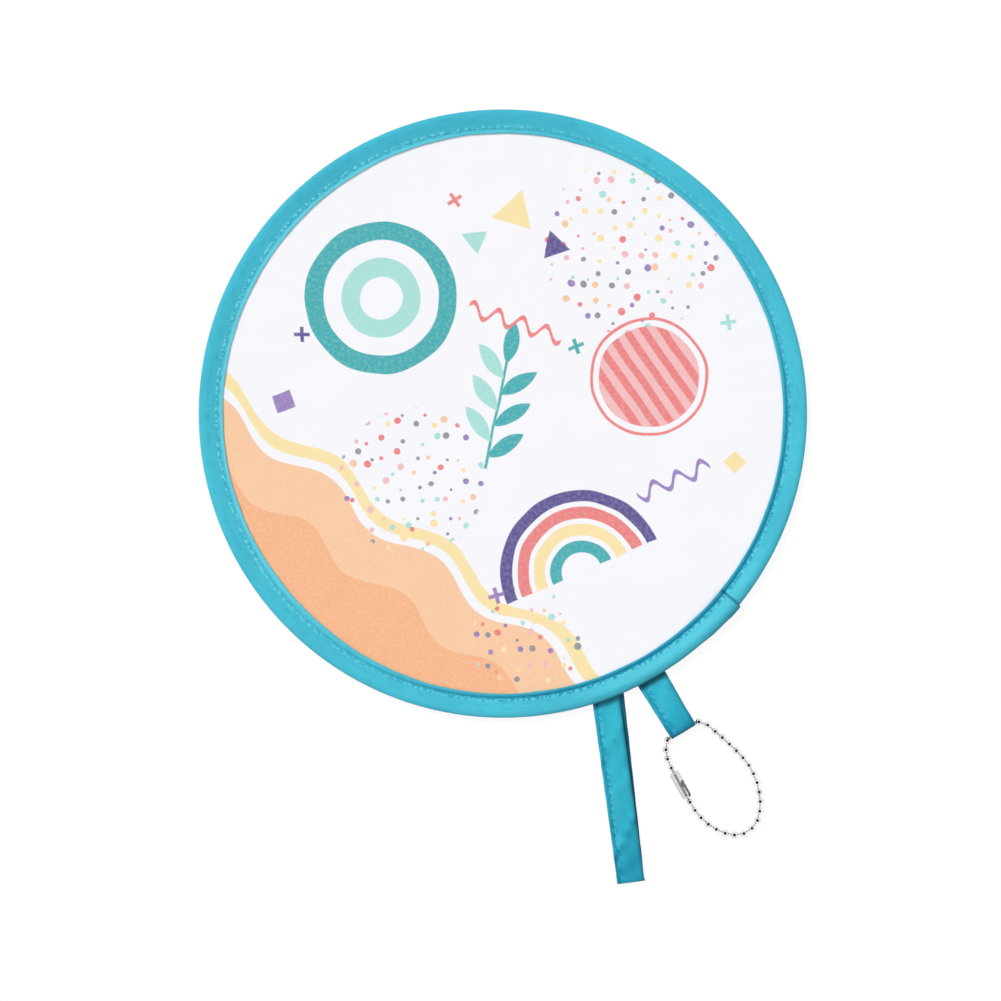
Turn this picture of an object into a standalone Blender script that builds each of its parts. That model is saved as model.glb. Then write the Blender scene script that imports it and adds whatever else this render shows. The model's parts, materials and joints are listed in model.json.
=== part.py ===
"""A round pop-up pocket fan with a wrist strap and a ball chain.

A spring hoop runs in the rolled edge of a tape binding, with cloth stretched across it. A wrist strap
and a small tab are sewn to the back of the binding, and a ball chain passes through the tab's fold.
Lengths are in metres and angles in degrees. The origin is the middle of the cloth's front face, +Z
points out of that face, and the strap and the chain lie on the -Y side.
"""

import math

import bmesh
import bpy
from mathutils import Matrix, Vector
from mathutils.geometry import interpolate_bezier

# Hoop and ferrule
FAN_RADIUS = 0.1
HOOP_WIRE_RADIUS = 0.0006
HOOP_END_GAP = 0.0004
HOOP_JOINT_ANGLE = 140.0
FERRULE_LENGTH = 0.012
FERRULE_WALL = 0.00025
FERRULE_CLEARANCE = 0.0002

# Cloth and binding
CLOTH_THICKNESS = 0.00025
CLOTH_CLEARANCE = 0.00025
CLOTH_TO_WIRE = 0.0007
CLOTH_PRESS = 0.00005
BINDING_WIDTH = 0.008
BINDING_WALL = 0.0003
BINDING_NECK = 0.0013
STITCH_INSET = 0.0013
STITCH_TO_FACE = 0.0003
CHANNEL_CLEARANCE = 0.0002
LAP_ANGLE = -39.1
LAP_LENGTH = 0.012
LAP_SET_BACK = 0.0002
LAP_OVERLAP = 0.00005

# Tape loops: the angle on the rim, the heading measured from -Y, and the length past the rim
TAPE_THICKNESS = 0.00035
TAPE_LEG_GAP = 0.0003
TAIL_REACH = 0.0075
TAIL_CLEARANCE = 0.0003
HINGE_OUTSET = 0.001
HINGE_TO_TAIL = 0.00015
HINGE_TO_LOOP = 0.00065
STRAP_ANGLE = -70.3
STRAP_HEADING = 7.8
STRAP_LENGTH = 0.0608
STRAP_WIDTH = 0.009
STRAP_RISE = 0.0009
STRAP_FOLD_RADIUS = 0.0005
STRAP_LEG_SHIFT = 0.0016
TAB_ANGLE = -60.7
TAB_HEADING = 31.2
TAB_LENGTH = 0.0204
TAB_WIDTH = 0.0092
TAB_FLARE = 0.001
TAB_NECK_LENGTH = 0.0055
TAB_WRAP_START = 115.0
SKEW_REACH = 0.012

# Ball chain
BALL_RADIUS = 0.0012
BALL_WALL = 0.00025
BALL_HOLE_RADIUS = 0.00075
BALL_PITCH = 0.00316
BALL_COUNT = 32
LINK_RADIUS = 0.0002
LINK_HEAD_RADIUS = 0.00078
LINK_HEAD_HEIGHT = 0.0009
FOLD_CLEARANCE = 0.0003
CONNECTOR_LENGTH = 0.0097
CONNECTOR_WALL = 0.0002
CONNECTOR_CLEARANCE = 0.0002
CONNECTOR_NECK_RADIUS = 0.0007
CONNECTOR_SLOT_WIDTH = 0.001
CONNECTOR_ENTRY_RADIUS = 0.0014
CONNECTOR_ROLL = 50.0
BALLS_TO_CONNECTOR = 25

# The chain's route seen from above: across the tab, and away from the fan past the middle of its fold
CHAIN_ROUTE = (
    (0.0, 0.0),
    (0.00315, 0.0001),
    (0.0059, 0.0015),
    (0.0079, 0.004),
    (0.009, 0.0072),
    (0.0105, 0.012),
    (0.0119, 0.0173),
    (0.0126, 0.0222),
    (0.0123, 0.027),
    (0.0111, 0.0312),
    (0.0096, 0.0344),
    (0.0077, 0.0372),
    (0.0052, 0.0395),
    (0.0021, 0.0406),
    (-0.0011, 0.0404),
    (-0.00395, 0.0389),
    (-0.0062, 0.0365),
    (-0.0085, 0.0326),
    (-0.0099, 0.028),
    (-0.0102, 0.023),
    (-0.0099, 0.016),
    (-0.00965, 0.0102),
    (-0.0092, 0.0069),
    (-0.0081, 0.00385),
    (-0.0061, 0.0014),
    (-0.0032, 0.0001),
)

# Pairs of balls, right and left, from the fold outwards: the hinge lines on which the loop drapes run
# through their centres
DRAPE_ROWS = ((3, 29), (4, 28), (5, 27), (9, 24), (10, 23), (11, 22), (12, 21), (13, 20), (14, 19), (15, 18))

# Balls over which the chain sinks from the fold to the table, and rises to the connector's thickness
BALLS_IN_FOLD = 1
BALLS_TO_TABLE = 3
BALLS_TO_LIFT = 2

# Facets
RING_STEPS = 96
LAP_STEPS = 2
WIRE_STEPS = 72
ROLL_STEPS = 6
FERRULE_STEPS = 4
LEG_STEPS = 7
FOLD_STEPS = 8
HEAD_STEPS = 4
TUBE_SIDES = 8
BALL_STEPS = 8
CONNECTOR_STEPS = 16
ROUTE_STEPS = 24

# Worked out from the above
channel_radius = HOOP_WIRE_RADIUS + FERRULE_CLEARANCE + FERRULE_WALL + CHANNEL_CLEARANCE
roll_radius = channel_radius + BINDING_WALL / 2
hoop_radius = FAN_RADIUS - channel_radius - BINDING_WALL
cloth_middle = -CLOTH_THICKNESS / 2
cloth_radius = hoop_radius - HOOP_WIRE_RADIUS - CLOTH_TO_WIRE
stitch_radius = FAN_RADIUS - BINDING_WIDTH + STITCH_INSET
lap_sweep = math.degrees(LAP_LENGTH / FAN_RADIUS)
layer_height = CLOTH_THICKNESS / 2 + CLOTH_CLEARANCE + BINDING_WALL / 2
roll_step = math.pi / (ROLL_STEPS - 1)
roll_height = roll_radius * math.cos(roll_step / 2)
rim_underside = cloth_middle - roll_height - BINDING_WALL / 2
tail_thickness = 2 * TAPE_THICKNESS
tail_top = rim_underside - TAIL_CLEARANCE
hinge_height = tail_top - tail_thickness / 2
table_height = tail_top - tail_thickness
hinge_radius = FAN_RADIUS + HINGE_OUTSET
fold_radius = BALL_RADIUS + FOLD_CLEARANCE + TAPE_THICKNESS / 2
fold_height = table_height + TAPE_THICKNESS / 2 + fold_radius
fold_reach = TAB_LENGTH - HINGE_OUTSET - fold_radius - TAPE_THICKNESS / 2
connector_span = CONNECTOR_LENGTH - 2 * (CONNECTOR_WALL + CONNECTOR_CLEARANCE + BALL_RADIUS)
chain_length = (BALL_COUNT - 1) * BALL_PITCH + connector_span


def clear_scene():
    for thing in list(bpy.data.objects):
        bpy.data.objects.remove(thing)


def new_collection(name):
    collection = bpy.data.collections.new(name)
    bpy.context.scene.collection.children.link(collection)
    return collection


def new_material(name, colour, roughness, metallic=0.0):
    material = bpy.data.materials.new(name)
    material.use_nodes = True
    shader = material.node_tree.nodes["Principled BSDF"]
    shader.inputs["Base Color"].default_value = (*colour, 1.0)
    shader.inputs["Roughness"].default_value = roughness
    shader.inputs["Metallic"].default_value = metallic
    material.diffuse_color = (*colour, 1.0)
    return material


def place(name, data, collection, material=None, matrix=None):
    thing = bpy.data.objects.new(name, data)
    collection.objects.link(thing)
    if material:
        thing.data.materials.append(material)
    if matrix:
        thing.matrix_world = matrix
    return thing


def mesh_from(bm, name):
    mesh = bpy.data.meshes.new(name)
    bm.to_mesh(mesh)
    bm.free()
    return mesh


def line_mesh(name, points):
    bm = bmesh.new()
    verts = [bm.verts.new(point) for point in points]
    for pair in zip(verts, verts[1:]):
        bm.edges.new(pair)
    return mesh_from(bm, name)


def add_screw(thing, steps, angle=360.0):
    screw = thing.modifiers.new("Turn", "SCREW")
    screw.angle = math.radians(angle)
    screw.steps = steps
    screw.render_steps = steps
    screw.use_merge_vertices = True
    screw.merge_threshold = 1e-6
    return screw


def add_wall(thing, thickness):
    wall = thing.modifiers.new("Wall", "SOLIDIFY")
    wall.thickness = thickness
    wall.offset = 0.0
    wall.use_even_offset = True
    return wall


def add_boolean(thing, operation, other):
    boolean = thing.modifiers.new(operation.title(), "BOOLEAN")
    boolean.operation = operation
    boolean.object = other
    return boolean


def as_helper(thing):
    thing.hide_render = True
    thing.display_type = "WIRE"
    return thing


def polar(radius, angle, height=0.0):
    turn = math.radians(angle)
    return Vector((radius * math.cos(turn), radius * math.sin(turn), height))


def binding_profile(growth=0.0, set_back=0.0):
    """The binding's middle line in the XZ plane: front layer, roll round the hoop, back layer."""
    radius = roll_radius + growth
    layer = layer_height + growth
    inner = FAN_RADIUS - BINDING_WIDTH + set_back
    neck = hoop_radius - roll_radius - BINDING_NECK
    points = [(inner, 0, layer), (neck, 0, layer)]
    for index in range(ROLL_STEPS + 1):
        turn = math.pi / 2 + roll_step / 2 - index * roll_step
        points.append((hoop_radius + radius * math.cos(turn), 0, radius * math.sin(turn)))
    points += [(neck, 0, -layer), (inner, 0, -layer)]
    return [(x, y, z + cloth_middle) for x, y, z in points]


def turned_mesh(name, points, sweeps):
    """The profile turned about Z through each sweep in turn: an angle in degrees, and its facets."""
    bm = bmesh.new()
    verts = [bm.verts.new(point) for point in points]
    geom = verts + [bm.edges.new(pair) for pair in zip(verts, verts[1:])]
    for angle, facets in sweeps:
        turn = math.radians(angle)
        turned = bmesh.ops.spin(bm, geom=geom, cent=(0, 0, 0), axis=(0, 0, 1), angle=turn, steps=facets)
        geom = turned["geom_last"]
    bmesh.ops.remove_doubles(bm, verts=bm.verts, dist=1e-6)
    bmesh.ops.recalc_face_normals(bm, faces=bm.faces)
    return mesh_from(bm, name)


def make_binding(parts, helpers, material):
    """The tape all round the rim, with its last stretch lapped over its start."""
    start = Matrix.Rotation(math.radians(LAP_ANGLE - lap_sweep), 4, "Z")
    lapped = (lap_sweep, LAP_STEPS)
    rest = (360.0 - lap_sweep, RING_STEPS - LAP_STEPS)
    lap_mesh = turned_mesh("lap", binding_profile(BINDING_WALL - LAP_OVERLAP, LAP_SET_BACK), [lapped])
    lap = as_helper(place("lap", lap_mesh, helpers, matrix=start))
    add_wall(lap, BINDING_WALL)
    ring_mesh = turned_mesh("rim_binding", binding_profile(), [lapped, rest])
    binding = place("rim_binding", ring_mesh, parts, material, start)
    add_wall(binding, BINDING_WALL)
    add_boolean(binding, "UNION", lap)
    return binding


def make_cloth(parts, material):
    """A disc of cloth, pressed thinner from the stitch line outwards, where the binding clamps it."""
    bm = bmesh.new()
    bmesh.ops.create_cone(
        bm,
        cap_ends=True,
        segments=RING_STEPS,
        radius1=cloth_radius,
        radius2=cloth_radius,
        depth=CLOTH_THICKNESS - 2 * CLOTH_PRESS,
        matrix=Matrix.Translation((0, 0, cloth_middle)),
    )
    bm.normal_update()
    for face in [face for face in bm.faces if len(face.verts) == RING_STEPS]:
        bmesh.ops.inset_region(bm, faces=[face], thickness=cloth_radius - stitch_radius)
        bmesh.ops.inset_region(bm, faces=[face], thickness=STITCH_INSET + STITCH_TO_FACE, depth=CLOTH_PRESS)
    return place("fan_cloth", mesh_from(bm, "fan_cloth"), parts, material)


def make_wire(parts, material):
    gap_angle = math.degrees(HOOP_END_GAP / hoop_radius)
    start = HOOP_JOINT_ANGLE + gap_angle / 2
    sweep = 360.0 - gap_angle
    curve = bpy.data.curves.new("hoop_wire", "CURVE")
    curve.dimensions = "3D"
    curve.bevel_depth = HOOP_WIRE_RADIUS
    curve.bevel_resolution = 2
    curve.use_fill_caps = True
    spline = curve.splines.new("POLY")
    spline.points.add(WIRE_STEPS)
    for index, point in enumerate(spline.points):
        point.co = (*polar(hoop_radius, start + sweep * index / WIRE_STEPS, cloth_middle), 1.0)
    return place("hoop_wire", curve, parts, material)


def make_ferrule(parts, material):
    """A crimped sleeve over the wire's two ends: a ring section swept a short way along the hoop."""
    sweep = FERRULE_LENGTH / hoop_radius
    bore = HOOP_WIRE_RADIUS + FERRULE_CLEARANCE
    bm = bmesh.new()
    outer = bmesh.ops.create_circle(bm, segments=TUBE_SIDES, radius=bore + FERRULE_WALL)["verts"]
    inner = bmesh.ops.create_circle(bm, segments=TUBE_SIDES, radius=bore)["verts"]
    rims = list({edge for vert in outer + inner for edge in vert.link_edges})
    bmesh.ops.bridge_loops(bm, edges=rims)
    upright = Matrix.Translation((hoop_radius, 0, 0)) @ Matrix.Rotation(math.pi / 2, 4, "X")
    bmesh.ops.transform(bm, matrix=upright, verts=bm.verts)
    bmesh.ops.rotate(bm, matrix=Matrix.Rotation(-sweep / 2, 3, "Z"), verts=bm.verts)
    section = bm.verts[:] + bm.edges[:] + bm.faces[:]
    bmesh.ops.spin(bm, geom=section, cent=(0, 0, 0), axis=(0, 0, 1), angle=sweep, steps=FERRULE_STEPS)
    bmesh.ops.recalc_face_normals(bm, faces=bm.faces)
    turned = Matrix.Rotation(math.radians(HOOP_JOINT_ANGLE), 4, "Z")
    matrix = Matrix.Translation((0, 0, cloth_middle)) @ turned
    return place("hoop_ferrule", mesh_from(bm, "hoop_ferrule"), parts, material, matrix)


def tape_frame(rim_angle, heading):
    """The frame of a tape loop: its origin on the hinge line, X across the tape and Y along it, outwards."""
    across = Vector((math.cos(math.radians(heading)), math.sin(math.radians(heading)), 0))
    along = Vector((across.y, -across.x, 0))
    centre = polar(hinge_radius, rim_angle, hinge_height)
    columns = (across, along, Vector((0, 0, -1)), centre)
    return Matrix([[column[row] for column in columns] for row in range(3)] + [[0, 0, 0, 1]])


def hinge_slope(rim_angle, heading):
    """How fast the hinge line, a tangent of the rim, runs along the tape for each step across it."""
    return math.tan(math.radians(heading - rim_angle - 90))


def make_tape(name, path, width, flare, thickness, frame, slope, parts, material):
    """A tape along its middle line: sideways, distance past the hinge, and height above the table."""
    bm = bmesh.new()
    lift = hinge_height - table_height
    verts = [bm.verts.new((sideways - width / 2, along, lift - height)) for sideways, along, height in path]
    edges = [bm.edges.new(pair) for pair in zip(verts, verts[1:])]
    swept = bmesh.ops.extrude_edge_only(bm, edges=edges)["geom"]
    far_side = [item for item in swept if isinstance(item, bmesh.types.BMVert)]
    bmesh.ops.translate(bm, vec=(width, 0, 0), verts=far_side)
    reach = max(along for _, along, _ in path)
    for vert in bm.verts:
        vert.co.x *= 1 + flare / width * (1 - max(0.0, vert.co.y) / reach)
        skewed = min(1.0, max(0.0, 1 - vert.co.y / SKEW_REACH))
        vert.co.y += vert.co.x * slope * skewed
    tape = place(name, mesh_from(bm, name), parts, material, frame)
    add_wall(tape, thickness)
    return tape


def tail_path():
    """Along the underside of the binding, from its back layer down round the roll to the hinge."""
    back_layer = cloth_middle - layer_height - BINDING_WALL / 2 - TAIL_CLEARANCE
    high = back_layer - tail_thickness / 2 - table_height
    low = tail_thickness / 2
    neck = hoop_radius - roll_radius - BINDING_NECK - hinge_radius
    roll = hoop_radius - roll_radius * math.sin(roll_step / 2) - hinge_radius
    return [
        (0, -TAIL_REACH - HINGE_OUTSET, high),
        (0, neck - tail_thickness / 2, high),
        (0, roll - tail_thickness / 2, low),
        (0, -HINGE_TO_TAIL, low),
    ]


def fold_path(reach, height, radius, start):
    """Round a fold, from the given angle down to its lowest point."""
    path = []
    for step in range(FOLD_STEPS + 1):
        turn = math.radians(start - (start + 90) * step / FOLD_STEPS)
        path.append((0, reach + radius * math.cos(turn), height + radius * math.sin(turn)))
    return path


def strap_path():
    """The upper leg from the hinge to the fold, the fold, and the lower leg back along the table."""
    low = TAPE_THICKNESS / 2
    high = low + TAPE_LEG_GAP + TAPE_THICKNESS
    fold_middle = STRAP_LENGTH - HINGE_OUTSET - STRAP_FOLD_RADIUS - TAPE_THICKNESS / 2
    path = []
    for step in range(LEG_STEPS):
        share = step / LEG_STEPS
        drop = (low + 2 * STRAP_FOLD_RADIUS - high) * share
        along = HINGE_TO_LOOP + (fold_middle - HINGE_TO_LOOP) * share
        path.append((0, along, high + drop + STRAP_RISE * math.sin(math.pi * share) ** 2))
    path += fold_path(fold_middle, low + STRAP_FOLD_RADIUS, STRAP_FOLD_RADIUS, 90)
    return path + [(STRAP_LEG_SHIFT, HINGE_TO_LOOP, low)]


def tab_path():
    """The upper leg, which rises into the fold round the chain, and the lower leg back along the table."""
    low = TAPE_THICKNESS / 2
    high = low + TAPE_LEG_GAP + TAPE_THICKNESS
    path = [(0, HINGE_TO_LOOP, high), (0, fold_reach - TAB_NECK_LENGTH, high)]
    path += fold_path(fold_reach, fold_height - table_height, fold_radius, TAB_WRAP_START)
    return path + [(0, HINGE_TO_LOOP, low)]


def route_samples():
    """The chain's route as close points, in the tab's frame, scaled to the chain's real length."""
    knots = [Vector((across, along, 0)) for across, along in CHAIN_ROUTE]
    samples = []
    for index, knot in enumerate(knots):
        before = knots[index - 1]
        after = knots[(index + 1) % len(knots)]
        beyond = knots[(index + 2) % len(knots)]
        handle = knot + (after - before) / 6
        next_handle = after - (beyond - knot) / 6
        samples += interpolate_bezier(knot, handle, next_handle, after, ROUTE_STEPS + 1)[:-1]
    samples.append(samples[0])
    length = sum((b - a).length for a, b in zip(samples, samples[1:]))
    return [sample * (chain_length / length) for sample in samples]


def point_on(samples, distance):
    for a, b in zip(samples, samples[1:]):
        step = (b - a).length
        if distance <= step:
            return a.lerp(b, distance / step)
        distance -= step
    return samples[-1].copy()


def ball_centres():
    """Each ball's centre in the fan's frame, from the middle of the tab's fold clockwise round the loop."""
    samples = route_samples()
    frame = tape_frame(TAB_ANGLE, TAB_HEADING)
    centres = []
    for index in range(BALL_COUNT):
        distance = index * BALL_PITCH
        if index > BALLS_TO_CONNECTOR:
            distance += connector_span - BALL_PITCH
        point = point_on(samples, distance)
        from_fold = min(distance, chain_length - distance) / BALL_PITCH
        settled = min(1.0, max(0.0, (from_fold - BALLS_IN_FOLD) / BALLS_TO_TABLE))
        height = fold_height + (table_height + BALL_RADIUS - fold_height) * settled
        from_connector = max(BALLS_TO_CONNECTOR - index, index - BALLS_TO_CONNECTOR - 1)
        height += (CONNECTOR_CLEARANCE + CONNECTOR_WALL) * max(0.0, 1 - from_connector / BALLS_TO_LIFT)
        flat = frame @ Vector((point.x, fold_reach + point.y, 0))
        centres.append(Vector((flat.x, flat.y, height)))
    return centres


def ball_profile(with_link):
    """A hollow ball with a hole at the back and, in front, a link whose head sits in the next ball."""
    hole = math.asin(BALL_HOLE_RADIUS / BALL_RADIUS)
    inner_radius = BALL_RADIUS - BALL_WALL
    inner_hole = math.asin(BALL_HOLE_RADIUS / inner_radius)
    points = []
    if with_link:
        turns = [math.pi * step / HEAD_STEPS for step in range(HEAD_STEPS)]
        turns.append(math.pi - math.asin(LINK_RADIUS / LINK_HEAD_RADIUS))
        for turn in turns:
            height = BALL_PITCH + LINK_HEAD_HEIGHT / 2 * math.cos(turn)
            points.append((LINK_HEAD_RADIUS * math.sin(turn), height))
        start = math.asin(LINK_RADIUS / BALL_RADIUS)
    else:
        start = 0.0
    turns = [start + (math.pi / 2 - start) * share / 3 for share in range(3)]
    turns += [math.pi / 2, (3 * math.pi / 2 - hole) / 2, math.pi - hole]
    points += [(BALL_RADIUS * math.sin(turn), BALL_RADIUS * math.cos(turn)) for turn in turns]
    turns = (math.pi - inner_hole, math.pi / 2, math.pi / 4, 0)
    points += [(inner_radius * math.sin(turn), inner_radius * math.cos(turn)) for turn in turns]
    return [(radius, 0, height) for radius, height in points]


def make_balls(centres, parts, material):
    linked = line_mesh("chain_ball", ball_profile(True))
    last = line_mesh("chain_end_ball", ball_profile(False))
    for mesh in (linked, last):
        mesh.materials.append(material)
    balls = []
    for index, centre in enumerate(centres):
        ahead = centres[(index + 1) % BALL_COUNT] - centre
        ball = place(
            f"chain_ball_{index + 1:02d}",
            last if index == BALLS_TO_CONNECTOR else linked,
            parts,
            matrix=Matrix.Translation(centre) @ ahead.to_track_quat("Z", "Y").to_matrix().to_4x4(),
        )
        screw = add_screw(ball, BALL_STEPS)
        screw.use_smooth_shade = True
        balls.append(ball)
    return balls


def make_connector(centres, parts, helpers, material):
    """A sleeve that holds both end balls, with a necked hole at each end, a slot and a ball entry.

    It lies rolled about its own axis, with its entry towards the inside of the loop.
    """
    first = centres[BALLS_TO_CONNECTOR]
    second = centres[BALLS_TO_CONNECTOR + 1]
    turned = (second - first).to_track_quat("Z", "Y").to_matrix().to_4x4()
    turned = turned @ Matrix.Rotation(math.radians(CONNECTOR_ROLL), 4, "Z")
    matrix = Matrix.Translation((first + second) / 2) @ turned
    inner = BALL_RADIUS + CONNECTOR_CLEARANCE
    outer = inner + CONNECTOR_WALL
    half = CONNECTOR_LENGTH / 2
    round_off = (outer - CONNECTOR_NECK_RADIUS) / 2
    points = [
        (CONNECTOR_NECK_RADIUS, half),
        (outer - round_off, half),
        (outer, half - round_off),
        (outer, round_off - half),
        (outer - round_off, -half),
        (CONNECTOR_NECK_RADIUS, -half),
        (CONNECTOR_NECK_RADIUS, CONNECTOR_WALL - half),
        (inner - round_off, CONNECTOR_WALL - half),
        (inner, round_off - half + CONNECTOR_WALL),
        (inner, half - round_off - CONNECTOR_WALL),
        (inner - round_off, half - CONNECTOR_WALL),
        (CONNECTOR_NECK_RADIUS, half - CONNECTOR_WALL),
    ]
    profile = [(radius, 0, height) for radius, height in points + points[:1]]
    connector = place("chain_connector", line_mesh("chain_connector", profile), parts, material, matrix)
    screw = add_screw(connector, CONNECTOR_STEPS)
    screw.use_smooth_shade = True
    bm = bmesh.new()
    slot = Matrix.Translation((0, outer, -half / 2 - CONNECTOR_WALL))
    slot = slot @ Matrix.Diagonal((CONNECTOR_SLOT_WIDTH, 2 * outer, half + 2 * CONNECTOR_WALL, 1))
    bmesh.ops.create_cube(bm, size=1.0, matrix=slot)
    slot_cutter = as_helper(place("connector_slot", mesh_from(bm, "connector_slot"), helpers, matrix=matrix))
    bm = bmesh.new()
    bmesh.ops.create_cone(
        bm,
        cap_ends=True,
        segments=CONNECTOR_STEPS,
        radius1=CONNECTOR_ENTRY_RADIUS,
        radius2=CONNECTOR_ENTRY_RADIUS,
        depth=2 * outer,
        matrix=Matrix.Translation((0, outer, 0)) @ Matrix.Rotation(math.pi / 2, 4, "X"),
    )
    entry = place("connector_entry", mesh_from(bm, "connector_entry"), helpers, matrix=matrix)
    entry_cutter = as_helper(entry)
    add_boolean(connector, "DIFFERENCE", slot_cutter)
    add_boolean(connector, "DIFFERENCE", entry_cutter)
    return connector


def attach(child, parent):
    """Parents a piece without moving it: each piece's own matrix stays its place in the fan's frame."""
    child.parent = parent
    child.matrix_parent_inverse = parent.matrix_basis.inverted()


def joint_empty(name, matrix, parts, parent=None):
    empty = place(name, None, parts, matrix=matrix)
    empty.empty_display_size = BALL_PITCH
    if parent:
        attach(empty, parent)
    return empty


def swing_line():
    """The middle of the tab's fold, round which the chain swings."""
    return tape_frame(TAB_ANGLE, TAB_HEADING) @ Vector((0, fold_reach, hinge_height - fold_height))


def row_frame(centres, row):
    """A drape row's hinge frame: midway between its two balls, with X through both centres."""
    right, left = [centres[index] for index in row]
    turned = (right - left).to_track_quat("X", "Z").to_matrix().to_4x4()
    return Matrix.Translation((right + left) / 2) @ turned


def attach_chain(centres, balls, connector, tab_joint, parts):
    """Each row's joint carries the balls beyond it on both sides of the loop, so the loop stays closed."""
    turned = tape_frame(TAB_ANGLE, TAB_HEADING).to_3x3().to_4x4()
    body = joint_empty("chain_swing", Matrix.Translation(swing_line()) @ turned, parts, tab_joint)
    body_of = [body] * BALL_COUNT
    for number, row in enumerate(DRAPE_ROWS, start=1):
        body = joint_empty(f"chain_row_{number}", row_frame(centres, row), parts, body)
        body_of[row[0]:row[1]] = [body] * (row[1] - row[0])
    for ball, carrier in zip(balls, body_of):
        attach(ball, carrier)
    attach(connector, body_of[BALLS_TO_CONNECTOR])


def main():
    clear_scene()
    parts = new_collection("folding_fan")
    helpers = new_collection("cutters")
    tape = new_material("turquoise_tape", (0.055, 0.48, 0.63), 0.75)
    cloth = new_material("white_cloth", (0.92, 0.91, 0.96), 0.8)
    spring = new_material("spring_steel", (0.55, 0.56, 0.58), 0.35, 1.0)
    chrome = new_material("bright_chain", (0.78, 0.77, 0.75), 0.2, 1.0)

    make_cloth(parts, cloth)
    make_wire(parts, spring)
    make_ferrule(parts, spring)
    make_binding(parts, helpers, tape)

    strap = (tape_frame(STRAP_ANGLE, STRAP_HEADING), hinge_slope(STRAP_ANGLE, STRAP_HEADING), parts, tape)
    make_tape("strap_tail", tail_path(), STRAP_WIDTH, 0.0, tail_thickness, *strap)
    strap_loop = make_tape("strap_loop", strap_path(), STRAP_WIDTH, 0.0, TAPE_THICKNESS, *strap)
    tab = (tape_frame(TAB_ANGLE, TAB_HEADING), hinge_slope(TAB_ANGLE, TAB_HEADING), parts, tape)
    make_tape("tab_tail", tail_path(), TAB_WIDTH, TAB_FLARE, tail_thickness, *tab)
    tab_loop = make_tape("tab_loop", tab_path(), TAB_WIDTH, TAB_FLARE, TAPE_THICKNESS, *tab)

    centres = ball_centres()
    balls = make_balls(centres, parts, chrome)
    connector = make_connector(centres, parts, helpers, chrome)

    attach(strap_loop, joint_empty("strap_swing", strap[0], parts))
    tab_joint = joint_empty("tab_swing", tab[0], parts)
    attach(tab_loop, tab_joint)
    attach_chain(centres, balls, connector, tab_joint, parts)


main()
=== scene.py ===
import json
from math import asin, atan2, copysign, cos, degrees, exp, pi, radians, remainder, sin, sqrt, tan

import bmesh
import bpy
from mathutils import Matrix, Vector
from mathutils.geometry import interpolate_bezier
from mathutils.noise import noise


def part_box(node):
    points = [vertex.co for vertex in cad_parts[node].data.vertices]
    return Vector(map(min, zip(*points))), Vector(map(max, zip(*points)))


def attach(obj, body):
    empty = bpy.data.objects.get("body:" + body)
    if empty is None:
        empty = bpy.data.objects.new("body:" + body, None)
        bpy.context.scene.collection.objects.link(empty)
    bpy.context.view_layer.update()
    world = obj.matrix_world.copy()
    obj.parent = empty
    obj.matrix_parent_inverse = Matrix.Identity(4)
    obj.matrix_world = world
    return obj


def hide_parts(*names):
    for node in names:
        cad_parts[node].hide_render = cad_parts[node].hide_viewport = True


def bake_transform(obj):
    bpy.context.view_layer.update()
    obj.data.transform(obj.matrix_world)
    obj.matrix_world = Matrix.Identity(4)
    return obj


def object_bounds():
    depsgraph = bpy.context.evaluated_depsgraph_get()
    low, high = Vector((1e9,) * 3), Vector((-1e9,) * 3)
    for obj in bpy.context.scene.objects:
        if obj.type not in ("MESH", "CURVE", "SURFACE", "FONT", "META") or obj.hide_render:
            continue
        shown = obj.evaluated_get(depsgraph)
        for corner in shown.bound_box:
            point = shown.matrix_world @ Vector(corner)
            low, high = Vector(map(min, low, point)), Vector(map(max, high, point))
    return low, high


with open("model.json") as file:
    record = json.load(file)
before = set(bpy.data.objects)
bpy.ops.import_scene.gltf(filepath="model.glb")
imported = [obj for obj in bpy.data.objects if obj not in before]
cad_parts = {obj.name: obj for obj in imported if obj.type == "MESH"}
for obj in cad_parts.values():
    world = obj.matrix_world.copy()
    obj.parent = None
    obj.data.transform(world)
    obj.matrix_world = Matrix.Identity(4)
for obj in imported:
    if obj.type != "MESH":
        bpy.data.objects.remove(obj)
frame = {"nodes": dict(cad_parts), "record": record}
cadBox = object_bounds()
mm = 0.001
weldReach = 0.002 * mm
bodyOf = {node: body for body, nodes in frame["record"]["behaviour"]["bodies"].items() for node in nodes}
print("frame loaded:", len(frame["nodes"]), "nodes")


# shared helpers

def feed(tree, node, inputs):
    for key, value in inputs.items():
        if isinstance(value, bpy.types.NodeSocket):
            tree.links.new(value, node.inputs[key])
        else:
            node.inputs[key].default_value = value


def addNode(tree, kind, inputs=None, **settings):
    node = tree.nodes.new(f"ShaderNode{kind}")
    for key, value in settings.items():
        setattr(node, key, value)
    feed(tree, node, inputs or {})
    return node


def calc(tree, operation, *values):
    return addNode(tree, "Math", dict(enumerate(values)), operation=operation).outputs[0]


def calcVector(tree, operation, *values, output="Vector"):
    node = addNode(tree, "VectorMath", dict(enumerate(values)), operation=operation)
    return node.outputs[output]


def partsOf(tree, vector):
    return addNode(tree, "SeparateXYZ", {0: vector}).outputs


def mixColour(tree, factor, *colours):
    first, second = (c if isinstance(c, bpy.types.NodeSocket) else (*c, 1) for c in colours)
    node = addNode(tree, "Mix", {0: factor, 6: first, 7: second}, data_type="RGBA")
    return node.outputs[2]


def remap(tree, value, low, high, newLow=0.0, newHigh=1.0):
    node = addNode(tree, "MapRange", {0: value, 1: low, 2: high, 3: newLow, 4: newHigh})
    return node.outputs[0]


def mixShader(tree, share, first, second):
    return addNode(tree, "MixShader", {0: share, 1: first, 2: second}).outputs[0]


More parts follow.
